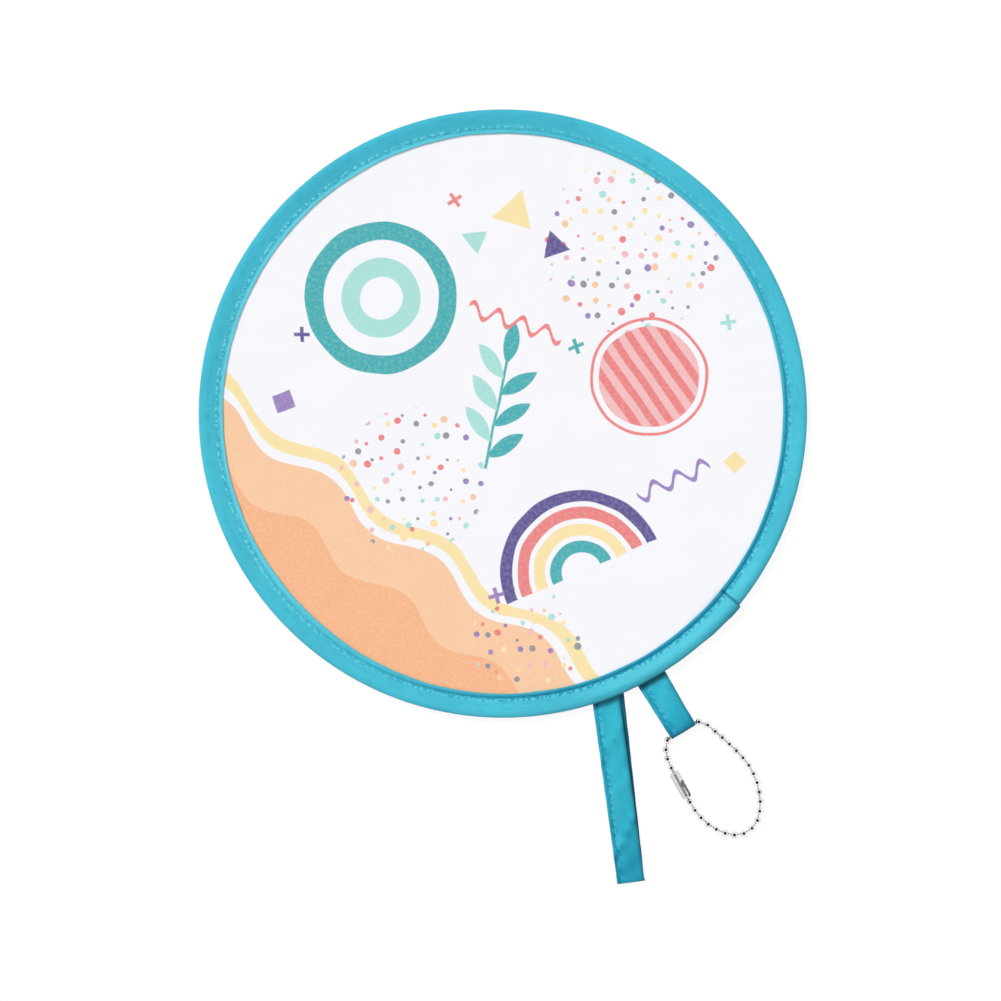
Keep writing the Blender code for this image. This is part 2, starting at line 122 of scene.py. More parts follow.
def addObject(name, data):
    made = bpy.data.objects.new(name, data)
    bpy.context.scene.collection.objects.link(made)
    return made


def finishMesh(name, bm):
    mesh = bpy.data.meshes.new(name)
    bm.to_mesh(mesh)
    bm.free()
    mesh.shade_smooth()
    return addObject(name, mesh)


def addWall(piece, thickness):
    wall = piece.modifiers.new("wall", "SOLIDIFY")
    wall.thickness = thickness
    wall.offset = 0.0
    wall.use_even_offset = True


def addSubdivision(piece):
    subdivision = piece.modifiers.new("subdivision", "SUBSURF")
    subdivision.levels = 1
    subdivision.render_levels = 1


def applyModifiers(piece):
    seen = piece.evaluated_get(bpy.context.evaluated_depsgraph_get())
    mesh = bpy.data.meshes.new_from_object(seen)
    piece.modifiers.clear()
    piece.data = mesh


def dress(piece, material, body=None, replaced=()):
    piece.data.materials.clear()
    piece.data.materials.append(material)
    if body:
        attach(piece, body)
    if replaced:
        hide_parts(*replaced)


def clamp(value):
    return min(1.0, max(0.0, value))


def smoothStep(value, start, end):
    share = clamp((value - start) / (end - start))
    return share * share * (3 - 2 * share)


def bump(value, middle, reach):
    # 1 at the middle, and fading out past the reach on both sides
    return exp(-((value - middle) / reach) ** 2)


def rising(value, strength, start, end):
    return strength * smoothStep(value, start, end)


def swelling(value, strength, middle, reach):
    return strength * bump(value, middle, reach)


def wayAt(angle):
    # level, that far round from the X axis
    return Vector((cos(angle), sin(angle), 0))


def turnTo(way):
    # turns the Z axis that way
    return way.to_track_quat("Z", "Y").to_matrix().to_4x4()


def smoothLine(points):
    # close points on a smooth line through the given ones
    knots = [Vector((*point, 0)) if len(point) == 2 else Vector(point) for point in points]
    line = []
    for index in range(len(knots) - 1):
        here, ahead = knots[index], knots[index + 1]
        before = knots[max(0, index - 1)]
        after = knots[min(len(knots) - 1, index + 2)]
        reach = (ahead - here).length / 3
        leave = here + (ahead - before).normalized() * reach
        arrive = ahead - (after - here).normalized() * reach
        line += interpolate_bezier(here, leave, arrive, ahead, 9)[:-1]
    return line + [knots[-1]]


def lineLength(line):
    return sum((b - a).length for a, b in zip(line, line[1:]))


def pointOn(line, distance):
    # the place and the direction at a distance along the line
    for a, b in zip(line, line[1:]):
        step = (b - a).length
        if distance <= step:
            return a.lerp(b, distance / step), (b - a).normalized()
        distance -= step
    return line[-1].copy(), (line[-1] - line[-2]).normalized()


def bendStrip(alongs, rows, width, place):
    # a flat strip of tape, with a UV map in mm, whose every point then goes where place() says
    columns = len(alongs) - 1
    bm = bmesh.new()
    bmesh.ops.create_grid(bm, x_segments=columns, y_segments=rows, size=0.5)
    uvMap = bm.loops.layers.uv.new("tape")
    grid = {vert: (round((vert.co.x + 0.5) * columns), round((vert.co.y + 0.5) * rows)) for vert in bm.verts}
    for face in bm.faces:
        for loop in face.loops:
            column, row = grid[loop.vert]
            loop[uvMap].uv = (alongs[column], width * row / rows)
    for vert, (column, row) in grid.items():
        vert.co = place(alongs[column], row)
    bm.normal_update()
    return bm


def tintTape(bm, tintAt):
    # the attributes take what tintAt() says of each vertex and its place on the flat tape
    uvMap = bm.loops.layers.uv.active
    layers = [bm.verts.layers.float.new(name) for name in ("groove", "shade", "glint", "pit")]
    for face in bm.faces:
        for loop in face.loops:
            for layer, value in zip(layers, tintAt(loop.vert, *loop[uvMap].uv)):
                loop.vert[layer] = value
            loop[uvMap].uv *= mm


# camera, lamps and floor

cameraSetup = {
    "aim": (-0.78, -28.55),  # mm, the middle of the photograph
    "height": 1.0,
    "focalLength": 109.5,
    "sensorWidth": 36.0,
    "clipStart": 0.01,
}
lightSetup = {
    "worldStrength": 0.79,
    "horizon": (0.35, 0.36, 0.38),
    "zenith": (1.0, 1.0, 1.0),
    "room": (1.45, 1.45, 1.45),  # what shiny things mirror: a white room with a dark hood overhead
    "hood": (0.02, 0.02, 0.02),
    "hoodEdge": (0.56, 0.73),  # the cosine of the angle from straight up, outside it and inside it
    "sunFrom": (-0.55, 0.58, 0.80),
    "sunStrength": 1.75,
    "sunAngle": 20.0,
    "floorGlow": 0.82,  # the share of the floor's look that is plain white, and clear to the camera
    "floorGlowStrength": 1.06,
    "floorColour": (0.86, 0.86, 0.86),
    "floorSize": 1.6,
}


def makeCamera():
    camera = addObject("camera", bpy.data.cameras.new("camera"))
    camera.location = (cameraSetup["aim"][0] * mm, cameraSetup["aim"][1] * mm, cameraSetup["height"])
    camera.data.lens = cameraSetup["focalLength"]
    camera.data.sensor_width = cameraSetup["sensorWidth"]
    camera.data.clip_start = cameraSetup["clipStart"]
    bpy.context.scene.camera = camera


def makeWorld():
    world = bpy.data.worlds.new("studio")
    bpy.context.scene.world = world
    world.use_nodes = True
    tree = world.node_tree
    tree.nodes.clear()
    direction = addNode(tree, "TexCoord").outputs["Generated"]
    up = partsOf(tree, direction)["Z"]
    sky = mixColour(tree, up, lightSetup["horizon"], lightSetup["zenith"])
    overhead = remap(tree, up, *lightSetup["hoodEdge"])
    path = addNode(tree, "LightPath").outputs
    mirrored = mixColour(tree, overhead, lightSetup["room"], lightSetup["hood"])
    sky = mixColour(tree, path["Is Glossy Ray"], sky, mirrored)
    light = addNode(tree, "Background", {"Color": sky, "Strength": lightSetup["worldStrength"]})
    white = addNode(tree, "Background", {"Color": (1, 1, 1, 1), "Strength": 1.0})
    surface = mixShader(tree, path["Is Camera Ray"], light.outputs[0], white.outputs[0])
    addNode(tree, "OutputWorld", {"Surface": surface})


def makeSun():
    sun = addObject("sun", bpy.data.lights.new("sun", "SUN"))
    sun.rotation_euler = Vector(lightSetup["sunFrom"]).to_track_quat("Z", "Y").to_euler()
    sun.data.energy = lightSetup["sunStrength"]
    sun.data.angle = radians(lightSetup["sunAngle"])
    sun.visible_glossy = False


def makeFloor():
    bm = bmesh.new()
    bmesh.ops.create_grid(
        bm, x_segments=1, y_segments=1, size=lightSetup["floorSize"] / 2,
        matrix=Matrix.Translation((0, 0, cadBox[0][2])),
    )
    floor = finishMesh("floor", bm)
    material = bpy.data.materials.new("paper floor")
    material.use_nodes = True
    tree = material.node_tree
    tree.nodes.clear()
    # a reflection sees it white, and the camera sees through it to the white world and what hangs below
    glowStrength = lightSetup["floorGlowStrength"]
    matt = addNode(tree, "BsdfDiffuse", {"Color": (*lightSetup["floorColour"], 1)})
    glow = addNode(tree, "Emission", {"Strength": glowStrength})
    clear = addNode(tree, "BsdfTransparent", {"Color": (*(glowStrength,) * 3, 1)})
    path = addNode(tree, "LightPath").outputs
    mirrored = calc(tree, "MAXIMUM", path["Is Glossy Ray"], path["Is Transmission Ray"])
    surface = matt.outputs[0]
    for seen, shader in ((mirrored, glow), (path["Is Camera Ray"], clear)):
        share = calc(tree, "MULTIPLY", seen, lightSetup["floorGlow"])
        surface = mixShader(tree, share, surface, shader.outputs[0])
    addNode(tree, "OutputMaterial", {"Surface": surface})
    floor.data.materials.append(material)


# materials

def newMaterial(name, colour, roughness, metallic=0.0):
    material = bpy.data.materials.new(name)
    material.use_nodes = True
    tree = material.node_tree
    shader = tree.nodes["Principled BSDF"]
    feed(tree, shader, {"Base Color": (*colour, 1), "Roughness": roughness, "Metallic": metallic})
    return material, tree, shader


def noiseAt(tree, place, scale, detail=2.0):
    return addNode(tree, "TexNoise", {"Vector": place, "Scale": scale, "Detail": detail}).outputs[0]


def weaveAt(tree, place, pitch):
    # a plain weave: threads over and under, as a height
    parts = partsOf(tree, place)
    turns = 2 * pi / pitch
    waves = [calc(tree, "SINE", calc(tree, "MULTIPLY", parts[axis], turns)) for axis in "XY"]
    return calc(tree, "MULTIPLY", *waves)


def addBump(tree, shader, *layers):
    # each layer is a height and its depth in metres
    normal = None
    for height, depth in layers:
        inputs = {"Height": height, "Distance": depth, "Strength": 1.0}
        if normal:
            inputs["Normal"] = normal
        normal = addNode(tree, "Bump", inputs).outputs[0]
    feed(tree, shader, {"Normal": normal})


tapeLook = {
    "rim": ((0.068, 0.508, 0.650), (0.080, 0.580, 0.720)),  # the tape's own colour, and where it is paler
    "strap": ((0.040, 0.500, 0.640), (0.048, 0.562, 0.702)),
    "deep": (0.022, 0.360, 0.500),
    # the tape's deeper own tone, and the colour of painted shade in grooves, seams, pits, creases and at the
    # turned ends
    "deepToneAndShade": (0.004, 0.215, 0.365),
    # the colour of painted shade, mixed in by the shade attribute
    "shaded": (0.002, 0.052, 0.100),
    # the colour of painted highlights, where groove goes below 0, and of the painted glints
    "bright": (0.20, 0.78, 0.90),
    "roughness": 0.62,
    "specular": 0.15,
    "sheen": (0.06, 0.4, (0.6, 0.95, 1.0)),  # its strength, roughness and colour
    "weavePitch": 0.42 * mm,
    "weaveDepth": 0.02 * mm,
    "weaveShade": 0.16,
    "cloudScale": 34.0,
    "clouds": (0.35, 0.70),
    "slubScale": 260.0,
    "slubStretch": (1, 6, 1),
    "slubs": (0.52, 0.75, 0.0, 0.45),
    "slubDepth": 0.05 * mm,
    "speckScale": 760.0,
    "glint": (0.50, 0.56),  # between which values of the specks' noise a painted glint comes in
    "pit": (0.50, 0.44),  # and a pit of painted shade
}


def vertexValue(tree, name):
    return addNode(tree, "Attribute", attribute_name=name).outputs["Fac"]


def addTint(tree, colour):
    # the attribute "groove" takes the colour toward the deeper one over 0, for the tape's deeper tone and for
    # painted shade, and toward the bright one below 0, for painted highlights
    groove = vertexValue(tree, "groove")
    colour = mixColour(tree, groove, colour, tapeLook["deepToneAndShade"])
    return mixColour(tree, calc(tree, "MULTIPLY", groove, -1.0), colour, tapeLook["bright"])


def makeTapeMaterial(name, own, pale):
    look = tapeLook
    material, tree, shader = newMaterial(name, own, look["roughness"])
    uv = addNode(tree, "UVMap", uv_map="tape").outputs[0]
    place = addNode(tree, "TexCoord").outputs["Object"]
    weave = weaveAt(tree, uv, look["weavePitch"])
    stretched = addNode(tree, "Mapping", {"Vector": uv, "Scale": look["slubStretch"]}).outputs[0]
    slubs = noiseAt(tree, stretched, look["slubScale"], 3.0)
    clouds = noiseAt(tree, place, look["cloudScale"])
    colour = mixColour(tree, remap(tree, clouds, *look["clouds"]), own, pale)
    colour = mixColour(tree, remap(tree, slubs, *look["slubs"]), colour, look["deep"])
    colour = mixColour(tree, remap(tree, weave, -1.0, 1.0, look["weaveShade"], 0.0), colour, look["deep"])
    # painted shade and painted highlights from the groove attribute, with the tape's deeper tone
    colour = addTint(tree, colour)
    specks = noiseAt(tree, uv, look["speckScale"], 1.0)
    # painted glints on the stitches, and painted shade in the needle pits
    for fleck, ink in (("glint", "bright"), ("pit", "deepToneAndShade")):
        mask = calc(tree, "MULTIPLY", vertexValue(tree, fleck), remap(tree, specks, *look[fleck]))
        colour = mixColour(tree, mask, colour, look[ink])
    # painted shade, where the shade attribute says
    colour = mixColour(tree, vertexValue(tree, "shade"), colour, look["shaded"])
    strength, roughness, tint = look["sheen"]
    feed(tree, shader, {
        "Base Color": colour, "Specular IOR Level": look["specular"],
        "Sheen Weight": strength, "Sheen Roughness": roughness, "Sheen Tint": (*tint, 1),
    })
    addBump(tree, shader, (weave, look["weaveDepth"]), (slubs, look["slubDepth"]))
    return material


threadLook = {
    "colour": (0.05, 0.45, 0.60),
    "dark": (0.02, 0.33, 0.48),
    "pale": (0.08, 0.60, 0.74),
    "roughness": 0.5,
    "sheen": 0.15,
    "strandScale": 2600.0,
    "strandDepth": 0.04 * mm,
}


def makeThreadMaterial():
    look = threadLook
    material, tree, shader = newMaterial("turquoise thread", look["colour"], look["roughness"])
    place = addNode(tree, "TexCoord").outputs["Object"]
    strands = noiseAt(tree, place, look["strandScale"], 1.0)
    colour = mixColour(tree, strands, look["dark"], look["pale"])
    feed(tree, shader, {"Base Color": addTint(tree, colour), "Sheen Weight": look["sheen"]})
    addBump(tree, shader, (strands, look["strandDepth"]))
    return material


metalLook = {
    # colour, roughness, the scale of the scratches, how metallic it is, and how deep its dents are
    "bright chain": ((0.85, 0.83, 0.83), 0.12, 1500.0, 1.0, 0.0),
    "chain links": ((0.74, 0.72, 0.71), 0.35, 1500.0, 0.6, 0.0),
    "chain connector": ((0.80, 0.78, 0.77), 0.24, 1200.0, 0.68, 0.05 * mm),
    "spring wire": ((0.55, 0.56, 0.58), 0.32, 900.0, 1.0, 0.0),
}
metalWear = {
    "roughness": (0.3, 0.8, 0.7, 1.7),  # from which values of the scratches' noise to which shares of it
    "scratchDepth": 0.006 * mm,
    "dentScale": 800.0,
    "patchSize": 9,  # a dull patch against a scratch
    "patches": (0.45, 0.8),
    "dull": 0.72,
}


def makeMetal(name):
    colour, roughness, scratchScale, metallic, dents = metalLook[name]
    material, tree, shader = newMaterial(name, colour, roughness, metallic)
    place = addNode(tree, "TexCoord").outputs["Object"]
    marks = noiseAt(tree, place, scratchScale, 4.0)
    patches = noiseAt(tree, place, scratchScale / metalWear["patchSize"])
    low, high, least, most = metalWear["roughness"]
    rough = remap(tree, marks, low, high, roughness * least, roughness * most)
    dull = tuple(channel * metalWear["dull"] for channel in colour)
    worn = mixColour(tree, remap(tree, patches, *metalWear["patches"]), colour, dull)
    feed(tree, shader, {"Base Color": worn, "Roughness": rough})
    layers = [(marks, metalWear["scratchDepth"])]
    if dents:
        layers.append((noiseAt(tree, place, metalWear["dentScale"], 1.0), dents))
    addBump(tree, shader, *layers)
    return material


# the print: a generic pattern of rings, stripes, waves, arcs, leaves and dots, in mm on the cloth

inks = {
    "cloth": (0.950, 0.948, 0.985),
    "peach": (0.960, 0.480, 0.250),
    "sand": (0.975, 0.600, 0.360),
    "yellow": (0.980, 0.790, 0.400),
    "coral": (0.860, 0.230, 0.220),
    "pink": (0.920, 0.520, 0.520),
    "teal": (0.050, 0.430, 0.450),
    "mint": (0.400, 0.760, 0.700),
    "indigo": (0.110, 0.090, 0.300),
    "violet": (0.330, 0.220, 0.520),
    "grey": (0.300, 0.300, 0.330),
}
printShape = {
    "edge": 0.14,  # how soft a printed edge is
    "bandSwing": (0.085, 900, 3.2),  # how fast a band swings, over what it swings faster, and how far
    "dots": (0.205, 0.85),  # how many to a mm, and how unevenly they lie
    "dotSizes": (0.09, 0.25),
    "dotEdge": 0.02,
    "patchEdge": 0.5,
    "dotInks": ("coral", "sand", "pink", "grey", "yellow", "violet", "mint"),
    "arc": (24.0, 1.9),  # its tilt in degrees, and half its width
    "stem": (0.45, 18),  # half its width and half its length
    "leaves": (7, 4, 5.2),  # how many, where the first one is, and the pitch
    "leafLean": (0.75, 0.8),
    "leaf": (7, 8.55, 11.05),  # half its length, and how far off and how big the circles are that cut it out
    "polygon": 0.6,  # from its middle to a side, where its size is 1
    "squiggle": (0.75, 2.2, 0.85),  # how fast it swings, how far, and half its width
    "plus": (0.6, 2.6),  # half the width and half the length of an arm
}
motifs = (  # kind, place and size, then what that kind needs
    ("bands", (-0.60, -0.80), ((47.0, "yellow"), (51.0, "cloth"), (54.0, "sand"), (70.0, "peach"))),
    ("confetti", (42, 55, 29), 0.0),
    ("confetti", (-30, -22, 24), 40.0),
    ("confetti", (8, -74, 18), 90.0),
    ("ripples", (-40, 38, 25), 6.0, ("teal", "cloth", "mint", "cloth")),
    ("stripes", (48, 12, 16.5), 5.0, 35.0, ("coral", "pink")),
    ("ring", (48, 12, 19.0), 1.0, "coral"),
    ("arcs", (26, -52), ((25, "indigo"), (19.5, "coral"), (14, "yellow"), (8.5, "teal"))),
    ("leaves", (-6, -18), 78.0, ("teal", "mint")),
    ("polygon", (4, 66, 6.5), 3, 12.0, "yellow"),
    ("polygon", (17, 55, 4.5), 3, 50.0, "indigo"),
    ("polygon", (-9, 57, 4.0), 3, -20.0, "mint"),
    ("polygon", (-72, 4, 5.0), 4, 20.0, "violet"),
    ("polygon", (76, -16, 4.5), 4, 45.0, "yellow"),
    ("squiggle", (4, 30), 16.0, -18.0, "coral"),
    ("squiggle", (56, -22), 13.0, 24.0, "violet"),
    ("plus", (-66, 26), 0.0, "indigo"),
    ("plus", (24, 22), 20.0, "teal"),
    ("plus", (-16, 70), 35.0, "coral"),
    ("plus", (74, 30), 10.0, "mint"),
    ("plus", (-2, -60), 15.0, "violet"),
)


def inside(tree, distance, limit):
    edge = printShape["edge"]
    return remap(tree, distance, limit + edge, limit - edge)


def beyond(tree, distance, limit):
    edge = printShape["edge"]
    return remap(tree, distance, limit - edge, limit + edge)


def away(tree, point, centre):
    return calcVector(tree, "DISTANCE", point, (centre[0], centre[1], 0), output="Value")


def offFrom(tree, value, middle):
    return calc(tree, "ABSOLUTE", calc(tree, "SUBTRACT", value, middle))


def swingOf(tree, value, speed, height):
    return calc(tree, "MULTIPLY", calc(tree, "SINE", calc(tree, "MULTIPLY", value, speed)), height)


def turnedAt(tree, point, centre, angle):
    # across and up, measured from a centre and turned
    moved = addNode(tree, "Mapping", {
        "Vector": point, "Location": (centre[0], centre[1], 0), "Rotation": (0, 0, radians(angle)),
    }, vector_type="TEXTURE").outputs[0]
    return partsOf(tree, moved)[:2]


def both(tree, first, second):
    return calc(tree, "MULTIPLY", first, second)


def printDots(tree, point, colour, patch, shift):
    # dots of every ink, one in each cell of a loose grid, with an even chance of each ink
    density, uneven = printShape["dots"]
    moved = addNode(tree, "Mapping", {"Vector": point, "Location": (shift, shift, 0)}).outputs[0]
    cells = addNode(
        tree, "TexVoronoi", {"Vector": moved, "Scale": density, "Randomness": uneven},
        voronoi_dimensions="2D",
    ).outputs
    chance = addNode(tree, "SeparateColor", {0: cells["Color"]}).outputs
    size = remap(tree, chance[1], 0.0, 1.0, *printShape["dotSizes"])
    edge = printShape["dotEdge"]
    dot = remap(tree, calc(tree, "SUBTRACT", cells["Distance"], size), edge, -edge)
    ramp = addNode(tree, "ValToRGB", {0: chance[0]})
    ramp.color_ramp.interpolation = "CONSTANT"
    names = printShape["dotInks"]
    while len(ramp.color_ramp.elements) < len(names):
        ramp.color_ramp.elements.new(0.5)
    for index, name in enumerate(names):
        ramp.color_ramp.elements[index].position = index / len(names)
        ramp.color_ramp.elements[index].color = (*inks[name], 1)
    return mixColour(tree, both(tree, patch, dot), colour, ramp.outputs[0])


def printLeaves(tree, point, colour, spot, angle, names):
    # a stem with a leaf to each side in turn, and one at its tip; a leaf is where two circles overlap
    along = wayAt(radians(angle)).xy
    side = Vector((-along.y, along.x))
    across, up = turnedAt(tree, point, spot, angle - 90)
    wide, half = printShape["stem"]
    stem = both(
        tree, inside(tree, calc(tree, "ABSOLUTE", across), wide), inside(tree, offFrom(tree, up, half), half)
    )
    colour = mixColour(tree, stem, colour, inks[names[0]])
    count, start, pitch = printShape["leaves"]
    forward, sideways = printShape["leafLean"]
    half, offset, radius = printShape["leaf"]
    for index in range(count):
        hand = 1 if index % 2 else -1
        lean = along if index == count - 1 else (along * forward + side * hand * sideways).normalized()
        middle = Vector(spot) + along * (start + pitch * index) + lean * half
        off = Vector((-lean.y, lean.x)) * offset
        farthest = calc(tree, "MAXIMUM", away(tree, point, middle + off), away(tree, point, middle - off))
        colour = mixColour(tree, inside(tree, farthest, radius), colour, inks[names[index % 2]])
    return colour


def printMotif(tree, point, colour, kind, spot, *facts):
    def ink(mask, name):
        return mixColour(tree, mask, colour, inks[name])

    if kind == "bands":
        across, up = turnedAt(tree, point, (0, 0), degrees(atan2(spot[1], spot[0])))
        speed, stretch, height = printShape["bandSwing"]
        for place, name in facts[0]:
            swing = swingOf(tree, up, speed + place / stretch, height)
            colour = ink(beyond(tree, calc(tree, "ADD", across, swing), place), name)
    elif kind == "confetti":
        edge = printShape["patchEdge"]
        patch = remap(tree, away(tree, point, spot), spot[2] + edge, spot[2] - edge)
        colour = printDots(tree, point, colour, patch, facts[0])
    elif kind == "ripples":
        distance = away(tree, point, spot)
        pitch, names = facts
        for index, name in enumerate(names):
            colour = ink(inside(tree, distance, spot[2] - index * pitch), name)
    elif kind == "stripes":
        pitch, angle, names = facts
        disc = inside(tree, away(tree, point, spot), spot[2])
        wave = calc(tree, "PINGPONG", turnedAt(tree, point, spot, angle)[0], pitch / 2)
        colour = ink(disc, names[0])
        colour = ink(both(tree, disc, inside(tree, wave, pitch / 4)), names[1])
    elif kind == "ring":
        width, name = facts
        colour = ink(inside(tree, offFrom(tree, away(tree, point, spot), spot[2]), width / 2), name)
    elif kind == "arcs":
        tilt, half = printShape["arc"]
        above = beyond(tree, turnedAt(tree, point, spot, tilt)[1], 0)
        distance = away(tree, point, spot)
        for radius, name in facts[0]:
            colour = ink(both(tree, above, inside(tree, offFrom(tree, distance, radius), half)), name)
    elif kind == "leaves":
        colour = printLeaves(tree, point, colour, spot, *facts)
    elif kind == "polygon":
        sides, angle, name = facts
        reach = turnedAt(tree, point, spot, angle)[0]
        for index in range(1, sides):
            toward = turnedAt(tree, point, spot, angle + 360.0 * index / sides)[0]
            reach = calc(tree, "MAXIMUM", reach, toward)
        colour = ink(inside(tree, reach, spot[2] * printShape["polygon"]), name)
    elif kind == "squiggle":
        length, angle, name = facts
        across, up = turnedAt(tree, point, spot, angle)
        speed, height, half = printShape["squiggle"]
        off = offFrom(tree, up, swingOf(tree, across, speed, height))
        long = inside(tree, calc(tree, "ABSOLUTE", across), length)
        colour = ink(both(tree, inside(tree, off, half), long), name)
    elif kind == "plus":
        angle, name = facts
        wide, long = printShape["plus"]
        arms = [calc(tree, "ABSOLUTE", arm) for arm in turnedAt(tree, point, spot, angle)]
        near, far = calc(tree, "MINIMUM", *arms), calc(tree, "MAXIMUM", *arms)
        colour = ink(both(tree, inside(tree, near, wide), inside(tree, far, long)), name)
    return colour


clothLook = {
    "roughness": 0.82,
    "sheen": 0.1,
    "drift": (0.10, 1.0),  # how the print is drawn off true: the noise's scale to a mm, and its reach in mm
    "weavePitch": 0.36 * mm,
    "weaveDepth": 0.012 * mm,
    "weaveShade": (0.05, (0.55, 0.53, 0.62)),  # how strong it is, and its colour
    "fibreScale": 900.0,
    "fibres": (0.45, 0.80, 0.0, 0.16),  # white fibres over the ink
    "behind": (0.2, -0.2, 0.0, 0.72),  # how the ink fades where the cloth faces back
    "foldScale": 22.0,
    "foldDepth": 0.9 * mm,
}


def makeClothMaterial():
    look = clothLook
    material, tree, shader = newMaterial("printed cloth", inks["cloth"], look["roughness"])
    coordinates = addNode(tree, "TexCoord").outputs
    place = coordinates["Object"]
    flat = calcVector(tree, "MULTIPLY", place, (1 / mm, 1 / mm, 0))
    scale, reach = look["drift"]
    drift = addNode(tree, "TexNoise", {"Vector": flat, "Scale": scale, "Detail": 0.0})
    drift = calcVector(tree, "SUBTRACT", drift.outputs["Color"], (0.5, 0.5, 0.5))
    point = calcVector(tree, "MULTIPLY_ADD", drift, (reach, reach, 0), flat)
    colour = inks["cloth"]
    for motif in motifs:
        colour = printMotif(tree, point, colour, *motif)
    weave = weaveAt(tree, place, look["weavePitch"])
    fibres = noiseAt(tree, place, look["fibreScale"])
    colour = mixColour(tree, remap(tree, fibres, *look["fibres"]), colour, (1.0, 1.0, 1.0))
    strength, shade = look["weaveShade"]
    colour = mixColour(tree, remap(tree, weave, -1.0, 1.0, strength, 0.0), colour, shade)
    facing = partsOf(tree, coordinates["Normal"])["Z"]
    colour = mixColour(tree, remap(tree, facing, *look["behind"]), colour, inks["cloth"])
    feed(tree, shader, {"Base Color": colour, "Sheen Weight": look["sheen"]})
    folds = noiseAt(tree, place, look["foldScale"])
    addBump(tree, shader, (weave, look["weaveDepth"]), (folds, look["foldDepth"]))
    return material


# cloth

clothShape = {
    "radius": 97.15 * mm,
    "height": -0.125 * mm,  # the middle of its thickness
    "thickness": 0.25 * mm,
    "steps": 292,
    "rings": 34,
    "sag": 0.30 * mm,
    "sagScale": 26,
    "slack": (0.55, 0.93),  # the sag runs out between these shares of the radius
    "pucker": 0.07 * mm,
    "puckerStart": (0.70, 0.94),
    "puckerEnd": (0.94, 0.96),
    "ripples": ((61, 0), (37, 1), (89, 2)),  # how many go round, and how far each is shifted
}
clothMiddle = Vector((0, 0, clothShape["height"]))


def makeCloth(material):
    values = clothShape
    bm = bmesh.new()
    line = [bm.verts.new((0, 0, 0)), bm.verts.new((values["radius"], 0, 0))]
    edge = bm.edges.new(line)
    bmesh.ops.subdivide_edges(bm, edges=[edge], cuts=values["rings"])
    bmesh.ops.spin(
        bm, geom=bm.verts[:] + bm.edges[:], cent=(0, 0, 0), axis=(0, 0, 1), angle=2 * pi,
        steps=values["steps"], use_merge=True,
    )
    bmesh.ops.remove_doubles(bm, verts=bm.verts, dist=weldReach)
    for vert in bm.verts:
        reach = vert.co.length / values["radius"]
        turn = atan2(vert.co.y, vert.co.x)
        slack = 1 - smoothStep(reach, *values["slack"])
        pulled = smoothStep(reach, *values["puckerStart"]) * (1 - smoothStep(reach, *values["puckerEnd"]))
        broad = noise(vert.co * values["sagScale"]) * values["sag"] * slack
        ripple = sum(sin(count * turn + shift) for count, shift in values["ripples"])
        vert.co.z = values["height"] + broad + ripple * values["pucker"] / 2 * pulled
    bmesh.ops.recalc_face_normals(bm, faces=bm.faces)
    cloth = finishMesh("printed_cloth", bm)
    addWall(cloth, values["thickness"])
    dress(cloth, material, "root", ["fan_cloth"])


# binding

bindingShape = {
    # lengths in mm; the tape's middle line on the front: how far from the fan's middle, and over the cloth's
    "front": (
        (92.00, 0.46), (92.30, 0.64), (92.75, 0.66), (93.12, 0.52), (93.38, 0.34), (93.62, 0.56),
        (94.10, 0.78), (94.90, 0.92), (95.90, 1.08), (97.10, 1.26), (98.40, 1.38), (99.22, 1.12),
        (99.70, 0.62), (99.85, 0.0),
    ),
    "wall": 0.28,
    "startAngle": -39.1,
    "stitches": 146,
    "stepsPerStitch": 2,
    "stitchRadius": 93.3,
    "grooveRadius": 93.38,
    "threadHeight": 0.58,
    "flap": 4.2,  # the turned-under end
    "turn": (0.12, 0.35),  # the rows beside its fold
    "lapSteps": 6,
    "lapRows": (0.9, 0.35),  # the rows before the lap's covered end
    "layer": 0.38,  # how far one layer stands off another
    "runOut": (2.2, 3.4),  # over what length the flap and the lap run out
    "upright": (95.5, 98.4),  # from where the layers stand off the roll, and not straight up
    "pucker": 0.10,
    "full": (94.4, 1.2),  # where it bulges between the stitches, and how far around
    "pinched": (0.6, 93.3, 0.9),  # its share where they draw it in, where that is, and how far around
    "uneven": (0.05, 9, 0.9),  # how much, and the noise's scale round the rim and across it
    "hem": (0.75, -135, 24),  # how far the inner edge lies further in, at which angle, over how many degrees
    "hemRadius": 92.5,
    "hemWaves": ((0.05, 23, 0), (0.04, 41, 1)),  # height, how many go round, and how far it is shifted
    "hemHoles": 0.04,
    "middleRadius": 96.5,  # of the flat tape
}
